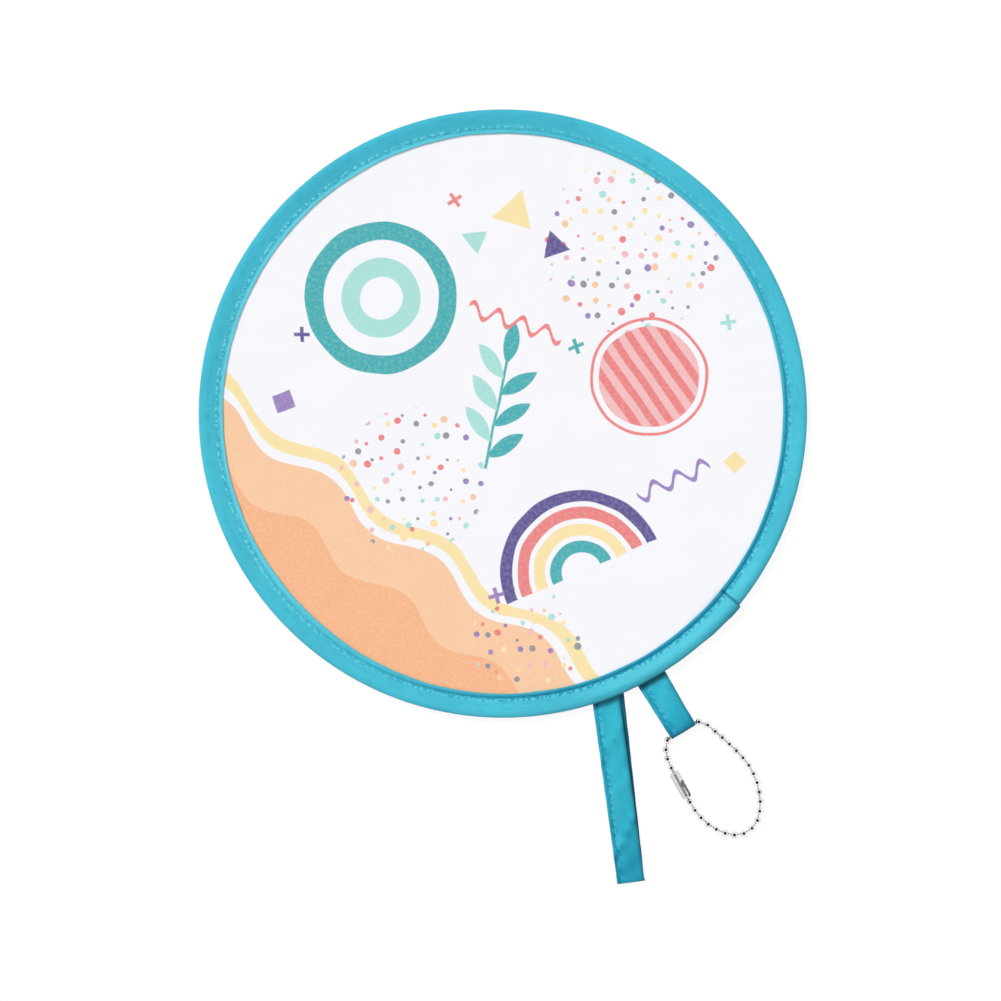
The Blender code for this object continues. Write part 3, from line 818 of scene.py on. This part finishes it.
bindingTint = {
    # where on the rim each tint is, as an angle and the two cosines between which it comes in
    # darkSide is turned from the light and takes painted shade; brightSide takes painted highlights
    "darkSide": (-45, -0.10, 1.0),
    "brightSide": (158, -0.10, 0.90),
    "topSide": (122, 0.30, 1.0),
    # crownSide takes a painted highlight on the roll's crown and painted shade on its outer edge
    "crownSide": (-52, 0.86, 1.0),
    # how strong each is, and from which radius to which one it comes in
    # lip: painted highlight on the inner lip, on the bright side
    "lip": (0.60, 93.1, 92.6),
    "top": (0.15, 94.2, 95.2),
    # edge and underEdge: painted shade on the roll's outer edge, on the crown side
    "edge": (0.20, 97.0, 98.6),
    "underEdge": (0.26, 99.1, 99.8),
    "crown": (0.26, 95.9, 1.5),  # painted highlight round one radius, and how far
    "groove": (1.02, 0.36, 1.20),  # painted shade in the groove of the seam: its reach, and the wider one inwards on the dark side
    "grooveLight": 0.08,  # its share on the bright side
    "fleck": (94.05, 0.36),  # round one radius, and how far
    "glint": (0.40, 0.60),  # painted glints: all round, and more on the bright side
    "pit": (0.10, 0.65),  # painted shade in the pits: all round, and more on the dark side
    # painted shade along the lap's folded edge
    "fold": 0.55,
    "underLap": (0.6, -0.7, -0.3),  # painted shadow on the layer below the lap: how strong, and from where to where before the covered end
}


def bindingRows():
    front = bindingShape["front"]
    return list(front) + [(radius, -height) for radius, height in reversed(front[:-1])]


def stitchPitch():
    return 2 * pi * bindingShape["stitchRadius"] / bindingShape["stitches"]


def bindingGrowth(along):
    # how far the tape stands off where it lies over its own end, in mm
    values = bindingShape
    overlap = values["lapSteps"] * stitchPitch() / values["stepsPerStitch"]
    ends = zip((values["flap"], overlap), values["runOut"])
    return sum(rising(along, values["layer"], end + reach, end) for end, reach in ends)


def bindingAngle(along):
    return radians(bindingShape["startAngle"]) - along / bindingShape["stitchRadius"]


def hemShift(angle):
    # how far the inner edge lies further in, in mm
    shift, toward, width = bindingShape["hem"]
    off = degrees(remainder(angle - radians(toward), 2 * pi))
    return swelling(off, shift, 0, width)


def sideShare(angle, side):
    toward, start, end = bindingTint[side]
    return smoothStep(cos(angle - radians(toward)), start, end)


def tintBinding(bm, lapEdge):
    # painted shade in the groove of the seam with painted glints and pits along it, a painted highlight on
    # the lip at the inner edge, and the roll's painted light and shade
    values, tint = bindingShape, bindingTint
    foldHalf = sum(values["turn"]) / 2

    def tintAt(vert, along, across):
        radius = vert.co.xy.length / mm
        angle = bindingAngle(along)
        dark, bright, crowned = (sideShare(angle, side) for side in ("darkSide", "brightSide", "crownSide"))
        # painted shade in the groove of the seam, wider and stronger on the side turned from the light
        strength, reach, inwards = tint["groove"]
        if radius < values["grooveRadius"]:
            reach += (inwards - reach) * dark * dark
        strength *= tint["grooveLight"] + (1 - tint["grooveLight"]) * dark
        groove = min(1.0, swelling(radius, strength, values["grooveRadius"], reach))
        # painted highlights: on the inner lip on the bright side, and on the roll's crown
        groove -= bright * rising(radius, *tint["lip"]) + crowned * swelling(radius, *tint["crown"])
        groove += sideShare(angle, "topSide") * rising(radius, *tint["top"])
        # painted shade on the roll's outer edge, on the crown side
        outer = crowned * (rising(radius, *tint["edge"]) + rising(radius, *tint["underEdge"]))
        # painted shade along the lap's fold, and the painted shadow it casts on the layer below
        fold = tint["fold"] if abs(along) < foldHalf else 0.0
        shade = max(fold, rising(along - lapEdge, *tint["underLap"]), outer)
        # painted glints on the stitches, more on the bright side, and painted shade in the pits, more on the
        # dark side
        seam = bump(radius, *tint["fleck"])
        glint = seam * (tint["glint"][0] + tint["glint"][1] * bright)
        pit = seam * (tint["pit"][0] + tint["pit"][1] * dark)
        return groove, shade, glint, pit

    tintTape(bm, tintAt)


def makeBinding(material):
    values = bindingShape
    rows = bindingRows()
    step = stitchPitch() / values["stepsPerStitch"]
    steps = values["stitches"] * values["stepsPerStitch"] + values["lapSteps"]
    lapEdge = values["stitches"] * stitchPitch()
    bend, beside = values["turn"]
    alongs = [-values["flap"], -values["flap"] / 2, -beside, -bend, 0.0, bend, beside]
    alongs += [step * index for index in range(1, steps + 1)]
    alongs += [lapEdge - before for before in values["lapRows"]]
    alongs.sort()

    def place(along, row):
        radius, height = rows[row]
        ahead = rows[min(len(rows) - 1, row + 1)]
        behind = rows[max(0, row - 1)]
        outward = Vector((behind[1] - ahead[1], ahead[0] - behind[0])).normalized()
        upright = Vector((0, copysign(1, height)))
        outward = upright.lerp(outward, smoothStep(radius, *values["upright"])).normalized()
        growth = bindingGrowth(along)
        if along < -bend:
            growth = values["layer"]
        elif along <= bend:  # round the fold, from the flap's layer up to the one above it
            growth = values["layer"] * (1.5 + along / (2 * bend))
        angle = bindingAngle(abs(along))
        hole = cos(2 * pi * abs(along) / stitchPitch())
        full = bump(radius, *values["full"])
        growth -= values["pucker"] * hole * (swelling(radius, *values["pinched"]) + full)
        amount, around, across = values["uneven"]
        seat = Vector((cos(angle) * around, sin(angle) * around, row * across))
        growth += amount * noise(seat) * full
        edge = 0.0
        if radius < values["hemRadius"]:
            waves = sum(size * sin(angle * count + shift) for size, count, shift in values["hemWaves"])
            edge = waves + values["hemHoles"] * hole - hemShift(angle)
        radius += outward.x * growth + edge
        height += outward.y * growth
        return Vector((radius * cos(angle), radius * sin(angle), height)) * mm + clothMiddle

    width = lineLength([Vector(point) for point in rows])
    bm = bendStrip(alongs, len(rows) - 1, width, place)
    tintBinding(bm, lapEdge)
    outermost = max(bm.faces, key=lambda face: face.calc_center_median().xy.length)
    if outermost.normal.xy.dot(outermost.calc_center_median().xy) < 0:
        bmesh.ops.reverse_faces(bm, faces=bm.faces)
    binding = finishMesh("binding_tape", bm)
    addWall(binding, values["wall"] * mm)
    addSubdivision(binding)
    dress(binding, material, "root", ["rim_binding"])


# stitches

threadShape = {
    "thickness": 0.14 * mm,
    "flatness": 0.8,
    "rimLength": 1.45 * mm,
    "strapLength": 1.35 * mm,
    "sides": 6,
    "rings": 6,
    "rimTint": (0.75, 0.80),  # painted shade on the rim's dark side, and painted highlight on the bright side: how deep, and how pale
    "strapTint": 0.35,
}


def addStitch(bm, place, ahead, up, halfLength, tint):
    # one stitch: a short thread whose ends go down into the tape
    groove = bm.verts.layers.float.get("groove") or bm.verts.layers.float.new("groove")
    side = up.cross(ahead).normalized()
    axes = Matrix([[side[row], up[row], ahead[row]] for row in range(3)]).to_4x4()
    thickness = threadShape["thickness"]
    size = Matrix.Diagonal((thickness, thickness * threadShape["flatness"], halfLength, 1))
    made = bmesh.ops.create_uvsphere(
        bm, u_segments=threadShape["sides"], v_segments=threadShape["rings"], radius=1.0,
        matrix=Matrix.Translation(place) @ axes @ size,
    )
    for vert in made["verts"]:
        vert[groove] = tint


def makeRimStitches(material):
    radius = bindingShape["grooveRadius"]
    dark, bright = threadShape["rimTint"]
    bm = bmesh.new()
    for index in range(bindingShape["stitches"]):
        along = (index + 0.5) * stitchPitch()
        angle = bindingAngle(along)
        ahead = Vector((sin(angle), -cos(angle), 0))
        height = bindingShape["threadHeight"] + bindingGrowth(along)
        # painted shade on the stitches on the side turned from the light, and a painted highlight on the
        # bright side
        tint = dark * sideShare(angle, "darkSide") - bright * sideShare(angle, "brightSide")
        for side in (1, -1):
            place = Vector((cos(angle) * radius, sin(angle) * radius, side * height)) * mm
            addStitch(bm, place + clothMiddle, ahead, Vector((0, 0, side)), threadShape["rimLength"], tint)
    dress(finishMesh("rim_stitches", bm), material, "root")


# strap and tab

tapeShape = {  # what the strap and the tab share, in mm
    # the folded tape's section: across it, and off its middle, with the fold on the right
    "section": (
        (-4.50, -0.08), (-4.10, -0.12), (-3.75, -0.10), (-3.40, -0.06), (-3.05, -0.10), (-1.60, -0.14),
        (1.20, -0.14), (3.50, -0.13), (4.20, -0.11), (4.48, 0.0), (4.20, 0.11), (3.50, 0.14), (1.20, 0.16),
        (-1.60, 0.16), (-3.05, 0.11), (-3.40, 0.06), (-3.75, 0.11), (-4.10, 0.13), (-4.50, 0.08),
    ),
    "sectionWidth": 9.0,
    # both ends of the tape under the rim: past the hinge, and height
    "start": ((-8.4, -1.28), (-5.8, -1.28), (-4.3, -1.52), (-2.8, -2.02), (-1.0, -2.05)),
    "end": ((-1.0, -2.385), (-2.9, -2.36), (-4.5, -1.90), (-5.9, -1.68), (-8.4, -1.68)),
    "wall": 0.13,
    "seam": -3.40,
    "stitchPitch": 4.0,
    "threadHeight": 0.15,
    "pinch": (0.03, 0.6),  # how deep the stitches draw it in, and how far around
    "wobble": (0.10, 0.22),  # how far its edges stray, and the noise's scale
    # the creases' height, and what the noise's first two coordinates take of the way along and across
    "broadCrease": (1.3, (0.17, 0.22), (-0.03, 0.10)),
    "fineCrease": (0.4, (0.42, -0.3), (0, 0.35)),
    "fineSeed": 7.0,
    "creaseStart": (9, 14),
    "hingeRadius": 101.0,
    "hingeHeight": -2.2565,
    "hingeReach": 1.3,  # how far it bends on each side of the hinge
    "skewReach": 12.0,  # how far out the rim's slant shows in its rows
    "shiftReach": 6.0,
}
tapeTint = {
    "sewn": (0.50, 0.35, 0.34),  # painted shade along the seam: how deep, how much deeper at a needle hole, and its reach
    # how strong each is, and from where to where across the tape
    "margin": (0.14, -3.1, -3.4),
    # edge: painted shade along the folded edge
    "edge": (0.45, 3.3, 4.4),
    # how strong each is, round which line of the tape, and how far
    # ridge: a painted highlight along the tape
    "ridge": (0.08, -2.0, 1.2),
    # glint: painted glints beside the seam; pit: painted shade in the needle pits
    "glint": (0.25, -2.9, 0.3),
    "pit": (0.85, -3.4, 0.4),
    # how much the lift of the creases and the turn of the folds deepen it, to a mm: painted shade and
    # highlight on them
    "crease": 0.2,
    "fold": 1.4,
    "under": (1, 5),  # where painted shade comes in on the inner face, past the turned end
    "rim": (1.1, -0.2),  # where the rim's shadow comes in, past the hinge
}
strapShape = {
    "rimAngle": -70.3,
    "heading": 7.8,
    "width": 9.0,
    "flare": 0.0,
    "legShift": 1.6,
    "line": (  # past the hinge, and height, in mm
        (0.9, -1.96), (6.0, -1.60), (16.0, -0.98), (30.0, -0.75), (44.0, -1.05), (54.0, -1.52), (58.2, -1.66),
        (59.5, -1.76), (59.8, -2.02), (59.5, -2.29), (58.2, -2.38), (50.0, -2.385), (34.0, -2.385),
        (16.0, -2.385), (4.0, -2.385),
    ),
    # painted shade between the legs, under the rim's edge and at the turned end; the tape's deeper tone, and
    # how it deepens toward the turned end
    "lowerShade": 0.72,
    "rimShade": 0.60,
    "deep": 0.10,
    "tipDeep": 0.48,
    "tipReach": 46.0,
    "tipShade": 0.3,
    "foldReach": 0.8,
    "stitchFrom": 4.0,
    "stitchTo": 57.0,
    # where each fold is past the hinge, how it slants, its height and its reach
    "folds": ((13, -1.2, 0.50, 2.2), (26, -0.9, -0.24, 2.8), (44, -1.4, 0.50, 2.0)),
    "creases": 0.50,
    "creaseEnd": 16.0,
    "columns": 150,
}
tabShape = {
    "rimAngle": -60.7,
    "heading": 31.2,
    "width": 9.2,
    "flare": 1.0,
    "legShift": 0.0,
    "line": (
        (0.9, -1.93), (5.0, -1.72), (9.8, -1.62), (13.0, -0.98), (15.4, 0.28), (16.8, 0.78), (17.8, 0.86),
        (18.75, 0.42), (19.27, -0.50), (19.15, -1.30), (18.6, -2.00), (17.5, -2.36), (12.0, -2.385),
        (6.0, -2.385), (2.0, -2.385),
    ),
    # painted shade between the legs, under the rim's edge and at the turned end; the tape's deeper tone, and
    # painted shade deepening it toward the turned end
    "lowerShade": 0.3,
    "rimShade": 0.75,
    "deep": 0.06,
    "tipDeep": 0.86,
    "tipReach": 14.0,
    "tipShade": 0.80,
    "foldReach": 1.9,
    "stitchFrom": 1.5,
    "stitchTo": 15.5,
    "folds": ((7, -0.9, 0.14, 1.6),),
    "creases": 0.20,
    "creaseEnd": 5.0,
    "columns": 96,
}


def loopMatrix(values):
    # across the tape, along it away from the fan, and up, from the point where it passes under the rim
    heading = radians(values["heading"])
    angle = radians(values["rimAngle"])
    across = wayAt(heading)
    along = Vector((sin(heading), -cos(heading), 0))
    centre = wayAt(angle) * tapeShape["hingeRadius"] * mm
    columns = (across * mm, along * mm, Vector((0, 0, mm)), centre)
    return Matrix([[column[row] for column in columns] for row in range(3)] + [[0, 0, 0, 1]])


def layTape(values):
    # the tape's middle line and its section, and how far along the line its hinge and its turned end are
    line = smoothLine((*tapeShape["start"], *values["line"], *tapeShape["end"]))
    tip = max(range(len(line)), key=lambda index: line[index].x)
    total = lineLength(line)
    widened = values["width"] / tapeShape["sectionWidth"]
    return {
        "line": line,
        "total": total,
        "reach": line[tip].x,
        "tip": lineLength(line[:tip + 1]),
        "hinge": next(step / 10 for step in range(int(total * 10)) if pointOn(line, step / 10)[0].x > 0),
        "section": [(across * widened, off) for across, off in tapeShape["section"]],
        "matrix": loopMatrix(values),
    }


def loopPoint(values, tape, distance, across, off):
    # a point of the tape: distance along its line, across it, and off its middle
    place, ahead = pointOn(tape["line"], distance)
    up = Vector((-ahead.y, ahead.x))
    past = place.x + up.x * off
    height = place.y + up.y * off
    nearness = 1 - clamp(past / tape["reach"])
    sideways = across * (1 + values["flare"] / values["width"] * nearness)
    lower = smoothStep(distance, tape["tip"], tape["tip"] + tapeShape["shiftReach"])
    sideways += values["legShift"] * lower * nearness
    slope = tan(radians(values["heading"] - values["rimAngle"] - 90))
    past += sideways * slope * clamp(1 - past / tapeShape["skewReach"])
    return tape["matrix"] @ Vector((sideways, past, height))


def creaseAt(kind, seed, along, across):
    # how far the creases lift the tape, in mm
    height, *slants = tapeShape[kind]
    return height * noise(Vector((*(along * share + across * slant for share, slant in slants), seed)))


def loopFolds(values, past, across):
    # how far the folds lift the tape, and how far they turn it from the light, both in mm
    lift = turn = 0.0
    for where, slant, height, reach in values["folds"]:
        off = (past - where - slant * across) / reach
        lift += height * exp(-off * off)
        turn += height * off * exp(-off * off)
    return lift, turn


def shapeLoop(values, tape, width):
    def place(along, row):
        across, off = tape["section"][row]
        rise = creaseAt("broadCrease", values["rimAngle"], along, across)
        rise += creaseAt("fineCrease", tapeShape["fineSeed"], along, across)
        rise = rise * values["creases"] + loopFolds(values, along - tape["hinge"], across)[0]
        rise *= smoothStep(along, *tapeShape["creaseStart"])
        rise *= smoothStep(tape["tip"] - along, 0, values["creaseEnd"])
        depth, reach = tapeShape["pinch"]
        hole = cos(2 * pi * along / tapeShape["stitchPitch"])
        pinch = swelling(across, copysign(depth, off) * hole, tapeShape["seam"], reach)
        stray, scale = tapeShape["wobble"]
        across += stray * noise(Vector((along * scale, 3.0, values["heading"])))
        return loopPoint(values, tape, along, across, off + rise - pinch)

    alongs = [tape["total"] * index / values["columns"] for index in range(values["columns"] + 1)]
    return bendStrip(alongs, len(tape["section"]) - 1, width, place)


def tintLoop(bm, values, tape, width):
    # painted shade along the seam and painted flecks by it, painted light and shade on the creases and folds,
    # and painted shade at the rim, at the turned end and between the layers
    tint = tapeTint
    rowWidth = width / (len(tape["section"]) - 1)

    def tintAt(vert, along, rows):
        across, off = tape["section"][round(rows / rowWidth)]
        pastTip, pastHinge = along - tape["tip"], along - tape["hinge"]
        hole = 0.5 + 0.5 * cos(2 * pi * along / tapeShape["stitchPitch"])
        # painted shade along the seam, deeper at each needle hole
        depth, deeper, reach = tint["sewn"]
        sewn = swelling(across, depth + deeper * hole, tapeShape["seam"], reach)
        # on its outside the tape grows pale again past the turned end
        fromTip = abs(pastTip) if off > 0 else max(0.0, -pastTip)
        # the tape's deeper tone, deeper toward the turned end; on the tab that is painted shade where it
        # turns down over the chain
        deep = values["deep"] + rising(fromTip, values["tipDeep"], values["tipReach"], 0)
        # a darker margin outside the seam, less a painted highlight along the ridge
        deep += rising(across, *tint["margin"]) - swelling(across, *tint["ridge"])
        # painted shade and highlight following the creases
        deep += tint["crease"] * creaseAt("broadCrease", values["rimAngle"], along, across)
        if pastTip < 0:
            # painted highlight and shade on the folds, by how far they turn from the light
            deep += tint["fold"] * loopFolds(values, pastHinge, across)[1]
        # painted shade: between the layers, at the turned end, along the folded edge and under the rim's edge
        shade = max(
            rising(pastTip, values["lowerShade"] * (off <= 0), *tint["under"]),
            rising(fromTip, values["tipShade"], values["foldReach"], 0),
            rising(across, *tint["edge"]),
            rising(pastHinge, values["rimShade"], *tint["rim"]),
        )
        return max(sewn, deep), shade, swelling(across, *tint["glint"]), swelling(across, *tint["pit"])

    tintTape(bm, tintAt)


def sewLoop(name, values, tape, material, body):
    pitch = tapeShape["stitchPitch"]
    across = tapeShape["seam"] * values["width"] / tapeShape["sectionWidth"]
    lift = tapeShape["threadHeight"]
    bm = bmesh.new()
    for leg in (1, -1):
        for index in range(int((values["stitchTo"] - values["stitchFrom"]) / pitch)):
            distance = tape["hinge"] + values["stitchFrom"] + (index + 0.5) * pitch
            if leg == -1:
                distance = tape["total"] - distance
            here, there = (loopPoint(values, tape, distance + shift, across, lift) for shift in (-1, 1))
            ahead = (there - here).normalized()
            up = Vector((0, 0, leg))
            up = (up - ahead * up.dot(ahead)).normalized()
            addStitch(bm, (here + there) / 2, ahead, up, threadShape["strapLength"], threadShape["strapTint"])
    dress(finishMesh(f"{name}_stitches", bm), material, body)


def makeLoop(name, values, material, stitchMaterial, body, nodes):
    tape = layTape(values)
    width = lineLength([Vector(point) for point in tape["section"]])
    bm = shapeLoop(values, tape, width)
    tintLoop(bm, values, tape, width)
    bmesh.ops.recalc_face_normals(bm, faces=bm.faces)
    piece = finishMesh(name, bm)
    addWall(piece, tapeShape["wall"] * mm)
    addSubdivision(piece)
    applyModifiers(piece)
    dress(piece, material, None, nodes)
    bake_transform(piece)
    sewLoop(name, values, tape, stitchMaterial, body)


# ball chain

chainShape = {
    "pitch": 3.16 * mm,
    "ballRadius": 1.2 * mm,
    "ballWall": 0.2 * mm,
    "hole": 0.60 * mm,
    "linkRadius": 0.25 * mm,
    "headRadius": 0.62 * mm,
    "headHeight": 0.8 * mm,
    "cadHeadHeight": 0.9 * mm,
    "sides": 24,
    "steps": (14, 6),  # down a ball's outside, and back up its inside
    "sink": (0.06 * mm, 0.8),  # how deep a ball is drawn in at its holes, and over how many steps
    "linkSides": 12,
    "headTurns": (0, 30, 60, 90, 120, 150),  # degrees from a head's tip
    "waist": 0.95,  # where a head runs into the link's rod, of its half height
    "endBall": 26,
}


def turnedPiece(name, profile, sides, matrix):
    # a revolved piece: the profile is radius and height, and the matrix places it
    bm = bmesh.new()
    verts = [bm.verts.new((radius, 0, height)) for radius, height in profile]
    edges = [bm.edges.new(pair) for pair in zip(verts, verts[1:])]
    if profile[0][0] > 0:
        edges.append(bm.edges.new((verts[-1], verts[0])))
    bmesh.ops.spin(
        bm, geom=verts + edges, cent=(0, 0, 0), axis=(0, 0, 1), angle=2 * pi, steps=sides, use_merge=True
    )
    bmesh.ops.remove_doubles(bm, verts=bm.verts, dist=weldReach)
    bmesh.ops.recalc_face_normals(bm, faces=bm.faces)
    bmesh.ops.transform(bm, matrix=matrix, verts=bm.verts)
    return finishMesh(name, bm)


def ballProfile():
    # a hollow ball with a turned-in hole at each end
    values = chainShape
    outer, inner = values["ballRadius"], values["ballRadius"] - values["ballWall"]
    start, innerStart = asin(values["hole"] / outer), asin(values["hole"] / inner)
    steps, innerSteps = values["steps"]
    depth, reach = values["sink"]
    line = []
    for step in range(steps + 1):
        sink = swelling(min(step, steps - step), depth, 0, reach)
        line.append((outer - sink, start + (pi - 2 * start) * step / steps))
    for step in range(innerSteps, -1, -1):
        line.append((inner, innerStart + (pi - 2 * innerStart) * step / innerSteps))
    return [(radius * sin(turn), radius * cos(turn)) for radius, turn in line]


def linkProfile():
    # a dumb-bell: a head in each of two neighbouring balls
    values = chainShape
    half = values["headHeight"] / 2
    turns = [radians(turn) for turn in values["headTurns"]]
    head = [(values["headRadius"] * sin(turn), half * cos(turn)) for turn in turns]
    head.append((values["linkRadius"], -half * values["waist"]))
    upper = [(radius, values["pitch"] + height) for radius, height in head]
    lower = [(radius, -height) for radius, height in reversed(head)]
    return upper + lower


def chainPlaces():
    # each ball's centre, from the solids, found by way of its link's direction: a link's far tip lies on its
    # ball's axis
    values = chainShape
    places = []
    count = sum(name.startswith("chain_ball_") for name in frame["nodes"])
    for index in range(1, count + 1):
        name = f"chain_ball_{index:02d}"
        points = [vert.co for vert in frame["nodes"][name].data.vertices]
        low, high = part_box(name)
        centre = (low + high) / 2
        if index != values["endBall"]:
            mean = sum(points, Vector()) / len(points)
            tip = max(points, key=lambda point: (point - mean).length)
            ahead = (tip - mean).normalized()
            centre = tip - ahead * (values["pitch"] + values["cadHeadHeight"] / 2)
        places.append(centre)
    return places


def makeChain(material, linkMaterial):
    # a ball lies halfway between the directions of its two links
    places = chainPlaces()
    for index, centre in enumerate(places):
        node = f"chain_ball_{index + 1:02d}"
        ahead = (places[(index + 1) % len(places)] - centre).normalized()
        between = ahead + (centre - places[index - 1]).normalized()
        matrix = Matrix.Translation(centre)
        ball = turnedPiece(
            f"ball_{index + 1:02d}", ballProfile(), chainShape["sides"], matrix @ turnTo(between)
        )
        dress(ball, material, bodyOf[node], [node])
        if index + 1 != chainShape["endBall"]:
            link = turnedPiece(
                f"link_{index + 1:02d}", linkProfile(), chainShape["linkSides"], matrix @ turnTo(ahead)
            )
            dress(link, linkMaterial, bodyOf[node])
    return places


# connector

connectorShape = {  # in mm
    "length": 9.7,
    "roll": 50.0,
    "radius": 1.5,
    "wall": 0.2,
    "neck": 0.72,
    "roundOff": 0.9,
    "slot": 0.5,  # half its width
    "entry": 1.35,
    "border": (0.45, 0.49),  # past these shares of its girth and its length, an edge isn't the cut's
    "entryReach": 1.25,  # within so many times its radius an edge is the entry's
    "slotReach": 1.3,  # unless it is within so many times the slot's half width
    "entryRise": 0.1,  # and above this it is the entry's anyway
    "weld": 0.02,
    "crest": 0.05,  # how much its section is squared, with one corner upwards
    "columns": 40,
    "rows": 36,
}


def makeConnector(places, material):
    values = connectorShape
    first, second = places[chainShape["endBall"] - 1], places[chainShape["endBall"]]
    turn = turnTo(second - first) @ Matrix.Rotation(radians(values["roll"]), 4, "Z")
    matrix = Matrix.Translation((first + second) / 2) @ turn @ Matrix.Scale(mm, 4)
    girth = 2 * pi * values["radius"]
    slot, entry, half = values["slot"], values["entry"], values["length"] / 2
    bm = bmesh.new()
    bmesh.ops.create_grid(bm, x_segments=values["columns"], y_segments=values["rows"], size=0.5)
    for vert in bm.verts:
        vert.co = Vector((vert.co.x * girth, vert.co.y * values["length"], 0))
    cut = []
    for face in bm.faces:
        centre = face.calc_center_median()
        inSlot = abs(centre.x) < slot and centre.y < 0
        if inSlot or centre.length < entry:
            cut.append(face)
    bmesh.ops.delete(bm, geom=cut, context="FACES")
    widest, longest = girth * values["border"][0], values["length"] * values["border"][1]
    for vert in bm.verts:  # the cut's stepped edges are pulled straight and round
        if not vert.is_boundary or abs(vert.co.x) > widest or abs(vert.co.y) > longest:
            continue
        near = vert.co.length < entry * values["entryReach"]
        beside = abs(vert.co.x) > slot * values["slotReach"]
        if near and beside or vert.co.y > values["entryRise"]:
            vert.co *= entry / vert.co.length
        else:
            vert.co.x = copysign(slot, vert.co.x)
    upwards = turn.inverted() @ Vector((0, 0, 1))
    for vert in bm.verts:  # rolled into a sleeve, with its ends drawn in
        angle = vert.co.x / values["radius"] + pi / 2
        end = max(0.0, abs(vert.co.y) - (half - values["roundOff"])) / values["roundOff"]
        drawn = 1 - sqrt(max(0.0, 1 - end * end))
        radius = values["radius"] - (values["radius"] - values["neck"]) * drawn
        radius *= 1 + values["crest"] * cos(4 * (angle - atan2(upwards.y, upwards.x))) * (1 - drawn)
        vert.co = Vector((radius * cos(angle), radius * sin(angle), vert.co.y))
    bmesh.ops.remove_doubles(bm, verts=bm.verts, dist=values["weld"])
    bmesh.ops.recalc_face_normals(bm, faces=bm.faces)
    side = max(bm.faces, key=lambda face: face.calc_center_median().xy.length)
    if side.normal.dot(side.calc_center_median()) < 0:
        bmesh.ops.reverse_faces(bm, faces=bm.faces)
    bmesh.ops.transform(bm, matrix=matrix, verts=bm.verts)
    connector = finishMesh("connector", bm)
    addWall(connector, values["wall"] * mm)
    addSubdivision(connector)
    dress(connector, material, bodyOf["chain_connector"], ["chain_connector"])


def main():
    makeCamera()
    makeWorld()
    makeSun()
    makeFloor()
    print("camera, lamps and floor made")
    rimTape = makeTapeMaterial("rim tape", *tapeLook["rim"])
    strapTape = makeTapeMaterial("strap tape", *tapeLook["strap"])
    thread = makeThreadMaterial()
    cloth = makeClothMaterial()
    metals = {name: makeMetal(name) for name in metalLook}
    for name in ("hoop_wire", "hoop_ferrule"):
        node = frame["nodes"][name]
        node.data.materials.clear()
        node.data.materials.append(metals["spring wire"])
    print("materials made")
    makeBinding(rimTape)
    makeCloth(cloth)
    makeRimStitches(thread)
    print("cloth and binding made")
    makeLoop("wrist_strap", strapShape, strapTape, thread, "strap", ["strap_tail", "strap_loop"])
    makeLoop("chain_tab", tabShape, strapTape, thread, "tab", ["tab_tail", "tab_loop"])
    print("strap and tab made")
    places = makeChain(metals["bright chain"], metals["chain links"])
    makeConnector(places, metals["chain connector"])
    print("chain made")


bpy.context.scene.view_settings.view_transform = "Standard"
main()
